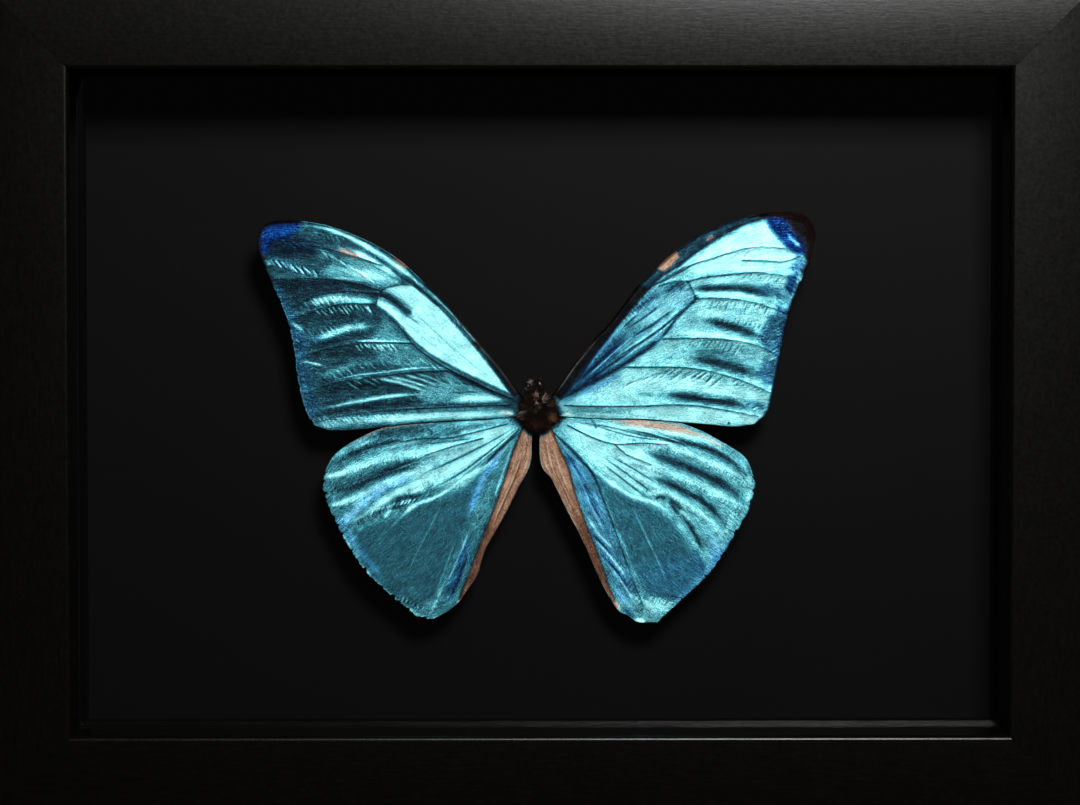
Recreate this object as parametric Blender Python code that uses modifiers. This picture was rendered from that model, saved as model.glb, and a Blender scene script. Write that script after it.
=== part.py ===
"""Framed butterfly specimen: a box frame with its glazing, spacers and back, and a spread butterfly inside.

Lengths are in metres. The frame stands on its bottom edge, its front faces -Y and +Z is up.
The origin lies under the middle of the frame, on the surface that it stands on.
"""

from math import cos, pi, radians, sin

import bmesh
import bpy
from mathutils import Vector

MM = 0.001

# Clearance left between neighbouring pieces.
GAP = 0.25 * MM

# Frame moulding. The opening is what shows inside the lip.
OPENING_WIDTH = 172 * MM
OPENING_HEIGHT = 122 * MM
RAIL_WIDTH = 22 * MM
FRAME_DEPTH = 38 * MM
LIP_DEPTH = 11 * MM
LIP_REACH = 5 * MM
INNER_EDGE_RADIUS = 1.2 * MM
OUTER_EDGE_RADIUS = 1.6 * MM
EDGE_STEPS = 4

# Layers in the rebate, from the lip backwards.
GLASS_THICKNESS = 2 * MM
SPACER_DEPTH = 12.5 * MM
SPACER_THICKNESS = LIP_REACH - GAP
BOARD_THICKNESS = 2 * MM
PANEL_THICKNESS = 2.5 * MM

# Bendable metal points over the back panel.
TAB_THICKNESS = 0.5 * MM
TAB_WIDTH = 7 * MM
TAB_LENGTH = 11 * MM
TAB_TIP = 3 * MM
TAB_SPREAD = 48 * MM

# Stamped hanger, held off the back panel by its rivet's collar.
HANGER_WIDTH = 24 * MM
HANGER_FOOT_WIDTH = 10 * MM
HANGER_HEIGHT = 26 * MM
HANGER_THICKNESS = 0.8 * MM
HANGER_RIVET_DROP = 19 * MM
HANGER_DROP = 22 * MM
SLOT_WIDTH = 14 * MM
SLOT_HEIGHT = 7 * MM
RIVET_SHANK_RADIUS = 1.5 * MM
RIVET_COLLAR_RADIUS = 2.6 * MM
RIVET_COLLAR_LENGTH = 2 * MM
RIVET_HEAD_RADIUS = 3.2 * MM
RIVET_HEAD_HEIGHT = 1 * MM
RIVET_SEGMENTS = 24

# Butterfly. Its places are measured from the middle of the opening.
WING_THICKNESS = 0.3 * MM
FOREWING_ABOVE_BOARD = 9.6 * MM
HINDWING_ABOVE_BOARD = 8.8 * MM
WING_LIFT = radians(1.5)
WING_CURVE_STEPS = 4
THORAX_CENTRE = (0.0, -1.9 * MM)
THORAX_RADII = (3.4 * MM, 3.5 * MM, 3.6 * MM)
THORAX_ABOVE_BOARD = 8.1 * MM
HEAD_CENTRE = (-0.4 * MM, 3.4 * MM)
HEAD_RADII = (1.7 * MM, 1.6 * MM, 1.35 * MM)
HEAD_ABOVE_BOARD = 9.2 * MM
BLOCK_WIDTH = 3.4 * MM
BLOCK_HEIGHT = 3.6 * MM

# Wing outlines in millimetres, as (across, up) from the middle of the opening, from the base outwards
# along the leading edge and back along the trailing edge.
FOREWING_LEFT = (
    (-3.5, 1.2), (-8.5, 7.8), (-14.4, 14.6), (-21.7, 22.3), (-29.4, 28.5), (-37, 32), (-44.7, 33.7),
    (-51.2, 33.2), (-52.7, 28.9), (-49.9, 21.6), (-47, 14.3), (-45.5, 5.1), (-43.6, -2.4), (-42.2, -4.6),
    (-39, -5.5), (-33.4, -5.3), (-21.7, -4), (-10.7, -3.4), (-4.7, -2.9),
)
FOREWING_RIGHT = (
    (2.4, 1.2), (6.7, 7.3), (12.5, 14), (18.4, 21.7), (25.4, 28.1), (33, 32.6), (42.2, 35.2), (49.1, 35),
    (51.5, 31.1), (50.3, 25.5), (46.9, 17.4), (44.9, 7.9), (43.4, 0.2), (42.5, -2.5), (40.4, -4.3),
    (36.5, -4.8), (26.9, -4), (12, -3.3), (4.7, -2.9),
)
HINDWING_LEFT = (
    (-5.6, -2.4), (-12, -2.7), (-23.3, -3.8), (-32.6, -6.3), (-38.8, -10.4), (-40.7, -15.8), (-38.9, -21.6),
    (-35.1, -28.6), (-30.8, -33.9), (-25.2, -38.6), (-20.1, -41), (-14.6, -37), (-11.6, -32.5), (-8.1, -24.2),
    (-3.4, -15.2), (-1.6, -10.8), (-1.5, -7), (-3.4, -4.6),
)
HINDWING_RIGHT = (
    (5, -2.9), (10.4, -2.9), (22.8, -3.8), (30.5, -5.7), (38.4, -10.4), (40.5, -15.5), (39, -21.1),
    (35.2, -27.9), (29.4, -34.9), (23.8, -40.2), (20.6, -41.7), (14.9, -39.6), (10.3, -31.4), (6.7, -23.6),
    (3.2, -16.6), (0.6, -12.8), (0, -7), (2.5, -4.6),
)

OPENING_MIDDLE = RAIL_WIDTH + OPENING_HEIGHT / 2
REBATE_WIDTH = OPENING_WIDTH + 2 * LIP_REACH
REBATE_HEIGHT = OPENING_HEIGHT + 2 * LIP_REACH
GLASS_FRONT = LIP_DEPTH + GAP
SPACER_FRONT = GLASS_FRONT + GLASS_THICKNESS + GAP
BOARD_FRONT = SPACER_FRONT + SPACER_DEPTH + GAP
PANEL_FRONT = BOARD_FRONT + BOARD_THICKNESS + GAP
PANEL_REAR = PANEL_FRONT + PANEL_THICKNESS


def across_depth(depth: float) -> float:
    """Return the Y of a plane that lies `depth` behind the front face of the frame."""
    return depth - FRAME_DEPTH / 2


def clear_scene() -> None:
    """Remove every object of the open file."""
    for thing in list(bpy.data.objects):
        bpy.data.objects.remove(thing, do_unlink=True)


def make_material(name: str, colour: tuple, roughness: float, metallic: float = 0.0, clear: float = 0.0):
    """Make one Principled material.

    Args:
        name: name of the material.
        colour: linear red, green and blue.
        roughness: roughness of the surface.
        metallic: 1 for bare metal and metallic scales.
        clear: transmission, 1 for glass.

    Returns:
        The material.
    """
    material = bpy.data.materials.new(name)
    material.use_nodes = True
    shader = material.node_tree.nodes["Principled BSDF"]
    shader.inputs["Base Color"].default_value = (*colour, 1.0)
    shader.inputs["Roughness"].default_value = roughness
    shader.inputs["Metallic"].default_value = metallic
    shader.inputs["Transmission Weight"].default_value = clear
    return material


def add_object(name: str, data, material, collection, parent=None):
    """Link a new object with its data and material, under an optional parent empty."""
    thing = bpy.data.objects.new(name, data)
    thing.parent = parent
    data.materials.append(material)
    collection.objects.link(thing)
    return thing


def add_box(name: str, size: tuple, centre: tuple, material, collection, parent=None):
    """Add a box of the given size, its origin at its centre."""
    shape = bmesh.new()
    bmesh.ops.create_cube(shape, size=1.0)
    bmesh.ops.scale(shape, vec=Vector(size), verts=shape.verts)
    mesh = bpy.data.meshes.new(name)
    shape.to_mesh(mesh)
    shape.free()
    box = add_object(name, mesh, material, collection, parent)
    box.location = centre
    return box


def add_ellipsoid(name: str, radii: tuple, centre: tuple, material, collection, parent=None):
    """Add an ellipsoid of the given half sizes, its origin at its centre."""
    shape = bmesh.new()
    bmesh.ops.create_uvsphere(shape, u_segments=20, v_segments=12, radius=1.0)
    bmesh.ops.scale(shape, vec=Vector(radii), verts=shape.verts)
    mesh = bpy.data.meshes.new(name)
    shape.to_mesh(mesh)
    shape.free()
    body = add_object(name, mesh, material, collection, parent)
    body.location = centre
    return body


def add_plate(name: str, outlines: list, thickness: float, material, collection, parent, smooth_steps: int = 0):
    """Add a flat plate from closed outlines; a second outline inside the first is a hole.

    Args:
        name: name of the object.
        outlines: lists of (across, up) points in metres.
        thickness: full thickness, half to each side of the outline's plane.
        material: material of the plate.
        collection: collection that it goes in.
        parent: empty that it hangs on.
        smooth_steps: 0 for straight edges, else the steps of a smooth curve between points.

    Returns:
        The curve object, standing upright in its parent's XZ plane.
    """
    curve = bpy.data.curves.new(name, "CURVE")
    curve.dimensions = "2D"
    curve.fill_mode = "BOTH"
    curve.extrude = thickness / 2
    curve.resolution_u = max(smooth_steps, 1)
    for outline in outlines:
        if smooth_steps:
            spline = curve.splines.new("BEZIER")
            spline.bezier_points.add(len(outline) - 1)
            for knot, point in zip(spline.bezier_points, outline):
                knot.co = (*point, 0.0)
                knot.handle_left_type = "AUTO"
                knot.handle_right_type = "AUTO"
        else:
            spline = curve.splines.new("POLY")
            spline.points.add(len(outline) - 1)
            for knot, point in zip(spline.points, outline):
                knot.co = (*point, 0.0, 1.0)
        spline.use_cyclic_u = True
    plate = add_object(name, curve, material, collection, parent)
    plate.rotation_euler = (pi / 2, 0.0, 0.0)
    return plate


def arc(centre: tuple, radius: float, start: float, end: float, steps: int) -> list:
    """Return the points of an arc about a centre, from start to end in degrees."""
    points = []
    for step in range(steps + 1):
        angle = radians(start + (end - start) * step / steps)
        points.append((centre[0] + radius * cos(angle), centre[1] + radius * sin(angle)))
    return points


def moulding_profile() -> list:
    """Return the moulding's section as (distance out from the opening, depth) points."""
    inner = INNER_EDGE_RADIUS
    outer = OUTER_EDGE_RADIUS
    profile = arc((inner, inner), inner, 180, 270, EDGE_STEPS)
    profile += arc((RAIL_WIDTH - outer, outer), outer, 270, 360, EDGE_STEPS)
    profile += [
        (RAIL_WIDTH, FRAME_DEPTH),
        (LIP_REACH, FRAME_DEPTH),
        (LIP_REACH, LIP_DEPTH),
        (0.0, LIP_DEPTH),
    ]
    return profile


def add_rail(name: str, opening_length: float, offset: float, turn: float, material, collection, parent):
    """Add one rail: the moulding's section drawn along the opening, each end mitred at 45 degrees.

    Args:
        name: name of the rail.
        opening_length: length of the side of the opening that the rail borders.
        offset: distance from the middle of the opening to the rail's lip.
        turn: angle about Y, 0 for the top rail.
        material: finish of the moulding.
        collection: collection that it goes in.
        parent: empty in the middle of the opening.

    Returns:
        The rail.
    """
    shape = bmesh.new()
    section = []
    for out, depth in moulding_profile():
        section.append(shape.verts.new((0.0, across_depth(depth), out)))
    face = shape.faces.new(section)
    far_side = bmesh.ops.extrude_face_region(shape, geom=[face])
    far_verts = {item for item in far_side["geom"] if isinstance(item, bmesh.types.BMVert)}
    for vert in shape.verts:
        reach = opening_length / 2 + vert.co.z - GAP / 2
        vert.co.x = reach if vert in far_verts else -reach
    bmesh.ops.recalc_face_normals(shape, faces=shape.faces)
    mesh = bpy.data.meshes.new(name)
    shape.to_mesh(mesh)
    shape.free()
    rail = add_object(name, mesh, material, collection, parent)
    rail.rotation_euler = (0.0, turn, 0.0)
    rail.location = (offset * sin(turn), 0.0, offset * cos(turn))
    return rail


def add_frame(collection, middle) -> None:
    """Add the four mitred rails around the opening."""
    paint = make_material("frame_paint", (0.012, 0.011, 0.009), 0.38)
    half_width = OPENING_WIDTH / 2
    half_height = OPENING_HEIGHT / 2
    add_rail("rail_top", OPENING_WIDTH, half_height, 0.0, paint, collection, middle)
    add_rail("rail_right", OPENING_HEIGHT, half_width, pi / 2, paint, collection, middle)
    add_rail("rail_bottom", OPENING_WIDTH, half_height, pi, paint, collection, middle)
    add_rail("rail_left", OPENING_HEIGHT, half_width, -pi / 2, paint, collection, middle)


def add_layers(collection, middle) -> None:
    """Add the glass, the four spacers, the mount board and the back panel in the rebate."""
    width = REBATE_WIDTH - 2 * GAP
    height = REBATE_HEIGHT - 2 * GAP
    glass = make_material("clear_glass", (1.0, 1.0, 1.0), 0.02, clear=1.0)
    black_strip = make_material("spacer_black", (0.008, 0.008, 0.008), 0.7)
    black_board = make_material("board_black", (0.015, 0.015, 0.016), 0.85)
    hardboard = make_material("hardboard", (0.16, 0.09, 0.045), 0.75)

    def add_layer(name: str, front: float, thickness: float, material) -> None:
        """Add one full-size sheet of the stack."""
        centre = (0.0, across_depth(front + thickness / 2), 0.0)
        add_box(name, (width, thickness, height), centre, material, collection, middle)

    add_layer("glass", GLASS_FRONT, GLASS_THICKNESS, glass)
    add_layer("mount_board", BOARD_FRONT, BOARD_THICKNESS, black_board)
    add_layer("back_panel", PANEL_FRONT, PANEL_THICKNESS, hardboard)

    depth = across_depth(SPACER_FRONT + SPACER_DEPTH / 2)
    lying = (width, SPACER_DEPTH, SPACER_THICKNESS)
    standing = (SPACER_THICKNESS, SPACER_DEPTH, height - 2 * (SPACER_THICKNESS + GAP))
    across = (width - SPACER_THICKNESS) / 2
    up = (height - SPACER_THICKNESS) / 2
    add_box("spacer_top", lying, (0.0, depth, up), black_strip, collection, middle)
    add_box("spacer_bottom", lying, (0.0, depth, -up), black_strip, collection, middle)
    add_box("spacer_left", standing, (-across, depth, 0.0), black_strip, collection, middle)
    add_box("spacer_right", standing, (across, depth, 0.0), black_strip, collection, middle)


def add_tabs(collection, middle) -> None:
    """Add the six metal points that stand out of the rebate wall over the back panel."""
    steel = make_material("tab_steel", (0.45, 0.44, 0.42), 0.35, metallic=1.0)
    half = TAB_WIDTH / 2
    outline = [
        (-half, -GAP),
        (-half, TAB_TIP - TAB_LENGTH),
        (-half + TAB_TIP, -TAB_LENGTH),
        (half - TAB_TIP, -TAB_LENGTH),
        (half, TAB_TIP - TAB_LENGTH),
        (half, -GAP),
    ]
    depth = across_depth(PANEL_REAR + GAP + TAB_THICKNESS / 2)
    reach_up = REBATE_HEIGHT / 2
    reach_across = REBATE_WIDTH / 2
    places = {
        "tab_top_left": (-TAB_SPREAD, reach_up, 0.0),
        "tab_top_right": (TAB_SPREAD, reach_up, 0.0),
        "tab_right": (reach_across, 0.0, pi / 2),
        "tab_bottom_right": (TAB_SPREAD, -reach_up, pi),
        "tab_bottom_left": (-TAB_SPREAD, -reach_up, pi),
        "tab_left": (-reach_across, 0.0, -pi / 2),
    }
    for name, (across, up, turn) in places.items():
        tab = add_plate(name, [outline], TAB_THICKNESS, steel, collection, middle)
        tab.location = (across, depth, up)
        tab.rotation_euler = (pi / 2, turn, 0.0)


def add_hanger(collection, middle) -> None:
    """Add the stamped hanger plate with its slot, and the shouldered rivet that holds it to the panel."""
    steel = make_material("hanger_steel", (0.5, 0.5, 0.48), 0.35, metallic=1.0)
    corner = 4 * MM
    half = HANGER_WIDTH / 2
    foot = HANGER_FOOT_WIDTH / 2
    outer = arc((half - corner, -corner), corner, 0, 90, 4)
    outer += arc((corner - half, -corner), corner, 90, 180, 4)
    outer += arc((0.0, foot - HANGER_HEIGHT), foot, 180, 360, 8)
    slot_corner = 2 * MM
    slot_top = -4 * MM
    slot = [
        (SLOT_WIDTH / 2, slot_top),
        (-SLOT_WIDTH / 2, slot_top),
        (slot_corner - SLOT_WIDTH / 2, slot_top - SLOT_HEIGHT),
        (SLOT_WIDTH / 2 - slot_corner, slot_top - SLOT_HEIGHT),
    ]
    hole = arc((0.0, -HANGER_RIVET_DROP), RIVET_SHANK_RADIUS + GAP, 0, 337.5, 15)
    panel_rear = across_depth(PANEL_REAR)
    top = REBATE_HEIGHT / 2 - HANGER_DROP
    plate_front = panel_rear + GAP + RIVET_COLLAR_LENGTH + GAP
    plate = add_plate("hanger_plate", [outer, slot, hole], HANGER_THICKNESS, steel, collection, middle)
    plate.location = (0.0, plate_front + HANGER_THICKNESS / 2, top)

    collar_end = RIVET_COLLAR_LENGTH
    head_start = collar_end + 2 * GAP + HANGER_THICKNESS
    profile = [
        (0.0, head_start + RIVET_HEAD_HEIGHT),
        (RIVET_HEAD_RADIUS * 0.75, head_start + RIVET_HEAD_HEIGHT * 0.7),
        (RIVET_HEAD_RADIUS, head_start),
        (RIVET_SHANK_RADIUS, head_start),
        (RIVET_SHANK_RADIUS, collar_end),
        (RIVET_COLLAR_RADIUS, collar_end),
        (RIVET_COLLAR_RADIUS, 0.0),
        (0.0, 0.0),
    ]
    mesh = bpy.data.meshes.new("hanger_rivet")
    corners = [(radius, 0.0, height) for radius, height in profile]
    edges = [(index, index + 1) for index in range(len(profile) - 1)]
    mesh.from_pydata(corners, edges, [])
    rivet = add_object("hanger_rivet", mesh, steel, collection, middle)
    turned = rivet.modifiers.new("turned", "SCREW")
    turned.axis = "Z"
    turned.steps = RIVET_SEGMENTS
    turned.render_steps = RIVET_SEGMENTS
    turned.use_merge_vertices = True
    turned.merge_threshold = 0.00001
    rivet.location = (0.0, panel_rear + GAP, top - HANGER_RIVET_DROP)
    rivet.rotation_euler = (-pi / 2, 0.0, 0.0)


def add_wing(name: str, outline: tuple, above_board: float, lift: float, material, collection, middle) -> None:
    """Add one wing as a thin plate that rises from the body's middle line towards its tip.

    Args:
        name: name of the wing.
        outline: (across, up) points in millimetres from the middle of the opening.
        above_board: distance of the wing's root in front of the mount board.
        lift: angle about Z by which the tip is raised towards the glass.
        material: scales of the wing.
        collection: collection that it goes in.
        middle: empty in the middle of the opening.
    """
    points = [(across * MM, up * MM) for across, up in outline]
    wing = add_plate(name, [points], WING_THICKNESS, material, collection, middle, WING_CURVE_STEPS)
    wing.location = (0.0, across_depth(BOARD_FRONT - above_board), 0.0)
    wing.rotation_euler = (pi / 2, 0.0, lift)


def add_butterfly(collection, middle) -> None:
    """Add the block on the board, the thorax and head, and the four wings."""
    foam = make_material("block_foam", (0.02, 0.02, 0.02), 0.9)
    fur = make_material("body_fur", (0.03, 0.018, 0.01), 0.8)
    scales = make_material("wing_scales", (0.05, 0.35, 0.5), 0.3, metallic=0.8)

    thorax_y = across_depth(BOARD_FRONT - THORAX_ABOVE_BOARD)
    thorax_place = (THORAX_CENTRE[0], thorax_y, THORAX_CENTRE[1])
    add_ellipsoid("thorax", THORAX_RADII, thorax_place, fur, collection, middle)
    head_place = (HEAD_CENTRE[0], across_depth(BOARD_FRONT - HEAD_ABOVE_BOARD), HEAD_CENTRE[1])
    add_ellipsoid("head", HEAD_RADII, head_place, fur, collection, middle)

    block_front = thorax_y + THORAX_RADII[1] + GAP
    block_rear = across_depth(BOARD_FRONT) - GAP
    block_size = (BLOCK_WIDTH, block_rear - block_front, BLOCK_HEIGHT)
    block_place = (THORAX_CENTRE[0], (block_front + block_rear) / 2, THORAX_CENTRE[1])
    add_box("mount_block", block_size, block_place, foam, collection, middle)

    wings = (
        ("forewing_left", FOREWING_LEFT, FOREWING_ABOVE_BOARD, WING_LIFT),
        ("forewing_right", FOREWING_RIGHT, FOREWING_ABOVE_BOARD, -WING_LIFT),
        ("hindwing_left", HINDWING_LEFT, HINDWING_ABOVE_BOARD, WING_LIFT),
        ("hindwing_right", HINDWING_RIGHT, HINDWING_ABOVE_BOARD, -WING_LIFT),
    )
    for name, outline, above_board, lift in wings:
        add_wing(name, outline, above_board, lift, scales, collection, middle)


def main() -> None:
    """Build the frame and the butterfly around one empty in the middle of the opening."""
    clear_scene()
    collection = bpy.data.collections.new("framed_butterfly")
    bpy.context.scene.collection.children.link(collection)
    middle = bpy.data.objects.new("opening_middle", None)
    middle.location = (0.0, 0.0, OPENING_MIDDLE)
    collection.objects.link(middle)
    add_frame(collection, middle)
    add_layers(collection, middle)
    add_tabs(collection, middle)
    add_hanger(collection, middle)
    add_butterfly(collection, middle)
    bpy.context.view_layer.update()


main()
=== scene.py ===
"""Looks of the framed butterfly specimen: the moulding, the glazing, the back and the butterfly.

Lengths are in metres in the frame's axes: the glass faces -Y, +X is to the right and +Z is up.
The wings are drawn in millimetres, as (across, up) from the middle of the opening.
"""

import logging
import math
from dataclasses import dataclass, field
from enum import Enum

import bpy
import numpy as np
from mathutils import Matrix, Vector


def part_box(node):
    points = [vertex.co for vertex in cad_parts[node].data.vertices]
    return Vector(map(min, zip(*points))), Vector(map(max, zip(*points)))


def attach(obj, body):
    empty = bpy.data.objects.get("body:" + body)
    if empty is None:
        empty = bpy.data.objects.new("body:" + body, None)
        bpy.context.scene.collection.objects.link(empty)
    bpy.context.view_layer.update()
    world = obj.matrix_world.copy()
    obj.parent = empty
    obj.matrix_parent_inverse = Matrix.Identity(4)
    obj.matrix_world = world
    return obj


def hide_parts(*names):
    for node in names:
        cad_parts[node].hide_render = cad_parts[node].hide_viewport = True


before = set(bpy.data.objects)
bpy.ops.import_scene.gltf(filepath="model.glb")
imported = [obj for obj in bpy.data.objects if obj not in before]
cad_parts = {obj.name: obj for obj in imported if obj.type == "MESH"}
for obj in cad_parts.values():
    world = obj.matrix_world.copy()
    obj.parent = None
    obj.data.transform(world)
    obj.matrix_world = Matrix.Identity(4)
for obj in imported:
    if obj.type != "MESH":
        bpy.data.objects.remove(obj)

MM = 0.001
BODY = "root"
LOG = logging.getLogger("framed_butterfly")

Point = tuple[float, float]
Path = tuple[Point, ...]
Place = tuple[float, float, float]
Colour = tuple[float, float, float]
Faces = list[list[int]]
Material = bpy.types.Material
Socket = bpy.types.NodeSocket


# ---------------------------------------------------------------- small tools

def smooth_path(points: Path, steps: int = 8) -> np.ndarray:
    """Draw a smooth line through a few points.

    Args:
        points: the points that the line passes through.
        steps: pieces between two neighbouring points.

    Returns:
        An array of points on a Catmull-Rom curve.
    """
    knots = np.array(points, dtype=float)
    padded = np.vstack([2 * knots[0] - knots[1], knots, 2 * knots[-1] - knots[-2]])
    line = []
    for index in range(len(knots) - 1):
        before, start, end, after = padded[index:index + 4]
        for step in range(steps):
            t = step / steps
            line.append(0.5 * (2 * start + (end - before) * t
                               + (2 * before - 5 * start + 4 * end - after) * t ** 2
                               + (3 * start - before - 3 * end + after) * t ** 3))
    line.append(knots[-1])
    return np.array(line)


def resample(line: np.ndarray, fractions: np.ndarray) -> np.ndarray:
    """Read a line at given fractions of its length.

    Args:
        line: points, one row each.
        fractions: where to read it, from 0 at its start to 1 at its end.

    Returns:
        The points there, one row each.
    """
    lengths = np.concatenate([[0.0], np.cumsum(np.linalg.norm(np.diff(line, axis=0), axis=1))])
    wanted = fractions * lengths[-1]
    return np.stack([np.interp(wanted, lengths, line[:, axis]) for axis in range(line.shape[1])], axis=1)


def fade(value: np.ndarray, low: float, high: float) -> np.ndarray:
    """Rise smoothly from 0 at low to 1 at high."""
    t = np.clip((value - low) / (high - low), 0.0, 1.0)
    return t * t * (3 - 2 * t)


def soft_noise(points: np.ndarray, size: float, seed: int, waves: int = 24) -> np.ndarray:
    """Return smooth noise of about -1 to 1.

    Args:
        points: places, one row each.
        size: rough size of a blotch, in the units of the points.
        seed: number that picks the pattern.
        waves: number of waves that are added up.

    Returns:
        One value for each point.
    """
    random = np.random.default_rng(seed)
    directions = random.normal(size=(waves, points.shape[1]))
    directions /= np.linalg.norm(directions, axis=1, keepdims=True)
    lengths = size * random.uniform(1.4, 3.4, waves)
    phases = random.uniform(0, 2 * math.pi, waves)
    total = np.zeros(len(points))
    for direction, length, phase in zip(directions, lengths, phases):
        total += np.sin(points @ direction * (2 * math.pi / length) + phase)
    return total / math.sqrt(waves) * 0.9


def new_mesh_object(name: str, corners: np.ndarray, faces: Faces,
                    material: Material) -> bpy.types.Object:
    """Make a smooth-shaded mesh object.

    Args:
        name: name of the piece.
        corners: one row of coordinates for each vertex.
        faces: vertex numbers of each face.
        material: finish of the piece.

    Returns:
        The object, linked to the scene.
    """
    mesh = bpy.data.meshes.new(name)
    mesh.from_pydata(np.asarray(corners, dtype=float).tolist(), [], faces)
    mesh.materials.append(material)
    mesh.shade_smooth()
    thing = bpy.data.objects.new(name, mesh)
    bpy.context.scene.collection.objects.link(thing)
    return thing


def store(mesh: bpy.types.Mesh, name: str, values: np.ndarray) -> None:
    """Store one number for each vertex under a name that a material reads."""
    layer = mesh.attributes.new(name, "FLOAT", "POINT")
    layer.data.foreach_set("value", np.asarray(values, dtype=np.float32))


def store_places(mesh: bpy.types.Mesh, name: str, places: np.ndarray) -> None:
    """Store one place for each vertex under a name that a material reads."""
    layer = mesh.attributes.new(name, "FLOAT_VECTOR", "POINT")
    layer.data.foreach_set("vector", np.asarray(places, dtype=np.float32).reshape(-1))


def egg(centre: Vector, half: Vector, rings: int = 40, bumps: float = 0.05,
        seed: int = 21) -> tuple[np.ndarray, Faces]:
    """Make an uneven egg shape.

    Args:
        centre: middle of the egg.
        half: half its size on each axis.
        rings: number of rings from end to end.
        bumps: size of the unevenness, as a share of the egg.
        seed: number that picks the unevenness.

    Returns:
        Corners and faces.
    """
    sides = rings * 2
    polar, turn = np.meshgrid(np.linspace(0, math.pi, rings + 1), np.arange(sides) * 2 * math.pi / sides,
                              indexing="ij")
    unit = np.stack([np.sin(polar) * np.cos(turn), np.sin(polar) * np.sin(turn), np.cos(polar)], axis=-1)
    unit = unit.reshape(-1, 3)
    swell = 1 + bumps * soft_noise(unit, 0.5, seed)
    corners = unit * swell[:, None] * np.array(half) + np.array(centre)
    faces = []
    for ring in range(rings):
        for side in range(sides):
            after = (side + 1) % sides
            faces.append([ring * sides + side, (ring + 1) * sides + side, (ring + 1) * sides + after,
                          ring * sides + after])
    return corners, faces


# ---------------------------------------------------------------- finishes

class Recipe:
    """A material under construction, with short calls for the nodes that it uses."""

    def __init__(self, name: str) -> None:
        """Start a material with a bare Principled shader."""
        self.material = bpy.data.materials.new(name)
        self.material.use_nodes = True
        self.tree = self.material.node_tree
        self.shader = self.tree.nodes["Principled BSDF"]
        self.place = self.tree.nodes.new("ShaderNodeTexCoord").outputs["Object"]

    def feed(self, socket: Socket, value: object) -> None:
        """Link a socket to another node's output, or set it to a value."""
        if isinstance(value, Socket):
            self.tree.links.new(value, socket)
        else:
            socket.default_value = value

    def set(self, **values: object) -> None:
        """Set or link the shader's sockets, with _ for the spaces in their names."""
        for name, value in values.items():
            self.feed(self.shader.inputs[name.replace("_", " ")], value)

    def node(self, kind: str, **inputs: object) -> bpy.types.Node:
        """Add a node.

        Args:
            kind: Blender's name for the node.
            inputs: its values or links, with _ for the spaces in their names.

        Returns:
            The node.
        """
        node = self.tree.nodes.new(kind)
        for name, value in inputs.items():
            self.feed(node.inputs[name.replace("_", " ")], value)
        return node

    def stretched(self, scale: Place) -> Socket:
        """Return the object coordinates, scaled by axis."""
        return self.node("ShaderNodeMapping", Scale=scale, Vector=self.place).outputs["Vector"]

    def noise(self, scale: float, detail: float = 2.0, place: Socket | None = None,
              rough: float = 0.5) -> Socket:
        """Return a noise of 0 to 1; scale is in features for each metre."""
        source = place or self.place
        return self.node("ShaderNodeTexNoise", Scale=scale, Detail=detail, Roughness=rough,
                         Vector=source).outputs["Fac"]

    def cells(self, scale: float) -> Socket:
        """Return the distance to the middle of the nearest cell."""
        return self.node("ShaderNodeTexVoronoi", Scale=scale, Vector=self.place).outputs["Distance"]

    def stored(self, name: str, output: str = "Fac") -> Socket:
        """Read what is stored on the mesh.

        Args:
            name: name that it is stored under.
            output: Fac for a number, Vector for a place.

        Returns:
            The stored number or place.
        """
        node = self.node("ShaderNodeAttribute")
        node.attribute_name = name
        return node.outputs[output]

    def sum(self, kind: str, first: object, second: object) -> Socket:
        """Do one arithmetic step.

        Args:
            kind: the step, such as ADD or MULTIPLY.
            first: the first number, or a link to it.
            second: the second number, or a link to it.

        Returns:
            The result.
        """
        node = self.node("ShaderNodeMath")
        node.operation = kind
        self.feed(node.inputs[0], first)
        self.feed(node.inputs[1], second)
        return node.outputs["Value"]

    def blend(self, first: Socket, share: float, second: Socket) -> Socket:
        """Return a share of the first pattern and the rest of the second."""
        return self.sum("ADD", self.sum("MULTIPLY", first, share), self.sum("MULTIPLY", second, 1 - share))

    def about(self, middle: float, spread: float, noise: Socket) -> Socket:
        """Return a number that wanders about a middle value as a noise of 0 to 1 does."""
        return self.node("ShaderNodeMapRange", To_Min=middle - spread, To_Max=middle + spread,
                         Value=noise).outputs["Result"]

    def ramp(self, value: Socket, stops: dict[float, Colour]) -> Socket:
        """Colour a pattern.

        Args:
            value: the pattern.
            stops: the colour at each value from 0 to 1.

        Returns:
            The colour.
        """
        node = self.node("ShaderNodeValToRGB", Fac=value)
        marks = node.color_ramp.elements
        while len(marks) < len(stops):
            marks.new(0.5)
        for mark, (position, colour) in zip(marks, sorted(stops.items())):
            mark.position = position
            mark.color = (*colour, 1.0)
        return node.outputs["Color"]

    def mixed(self, share: object, first: object, second: object) -> Socket:
        """Mix two colours.

        Args:
            share: how much of the second colour there is, from 0 to 1.
            first: the first colour, or a link to it.
            second: the second colour, or a link to it.

        Returns:
            The mixed colour.
        """
        node = self.node("ShaderNodeMix")
        node.data_type = "RGBA"
        self.feed(node.inputs["Factor"], share)
        colours = [socket for socket in node.inputs if socket.type == "RGBA"]
        for socket, value in zip(colours, (first, second)):
            self.feed(socket, value if isinstance(value, Socket) else (*value, 1.0))
        return next(socket for socket in node.outputs if socket.type == "RGBA")

    def bump(self, height: Socket, strength: float, depth: float) -> None:
        """Raise the surface by a height pattern; depth is in metres."""
        node = self.node("ShaderNodeBump", Strength=strength, Distance=depth, Height=height)
        self.feed(self.shader.inputs["Normal"], node.outputs["Normal"])


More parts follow.
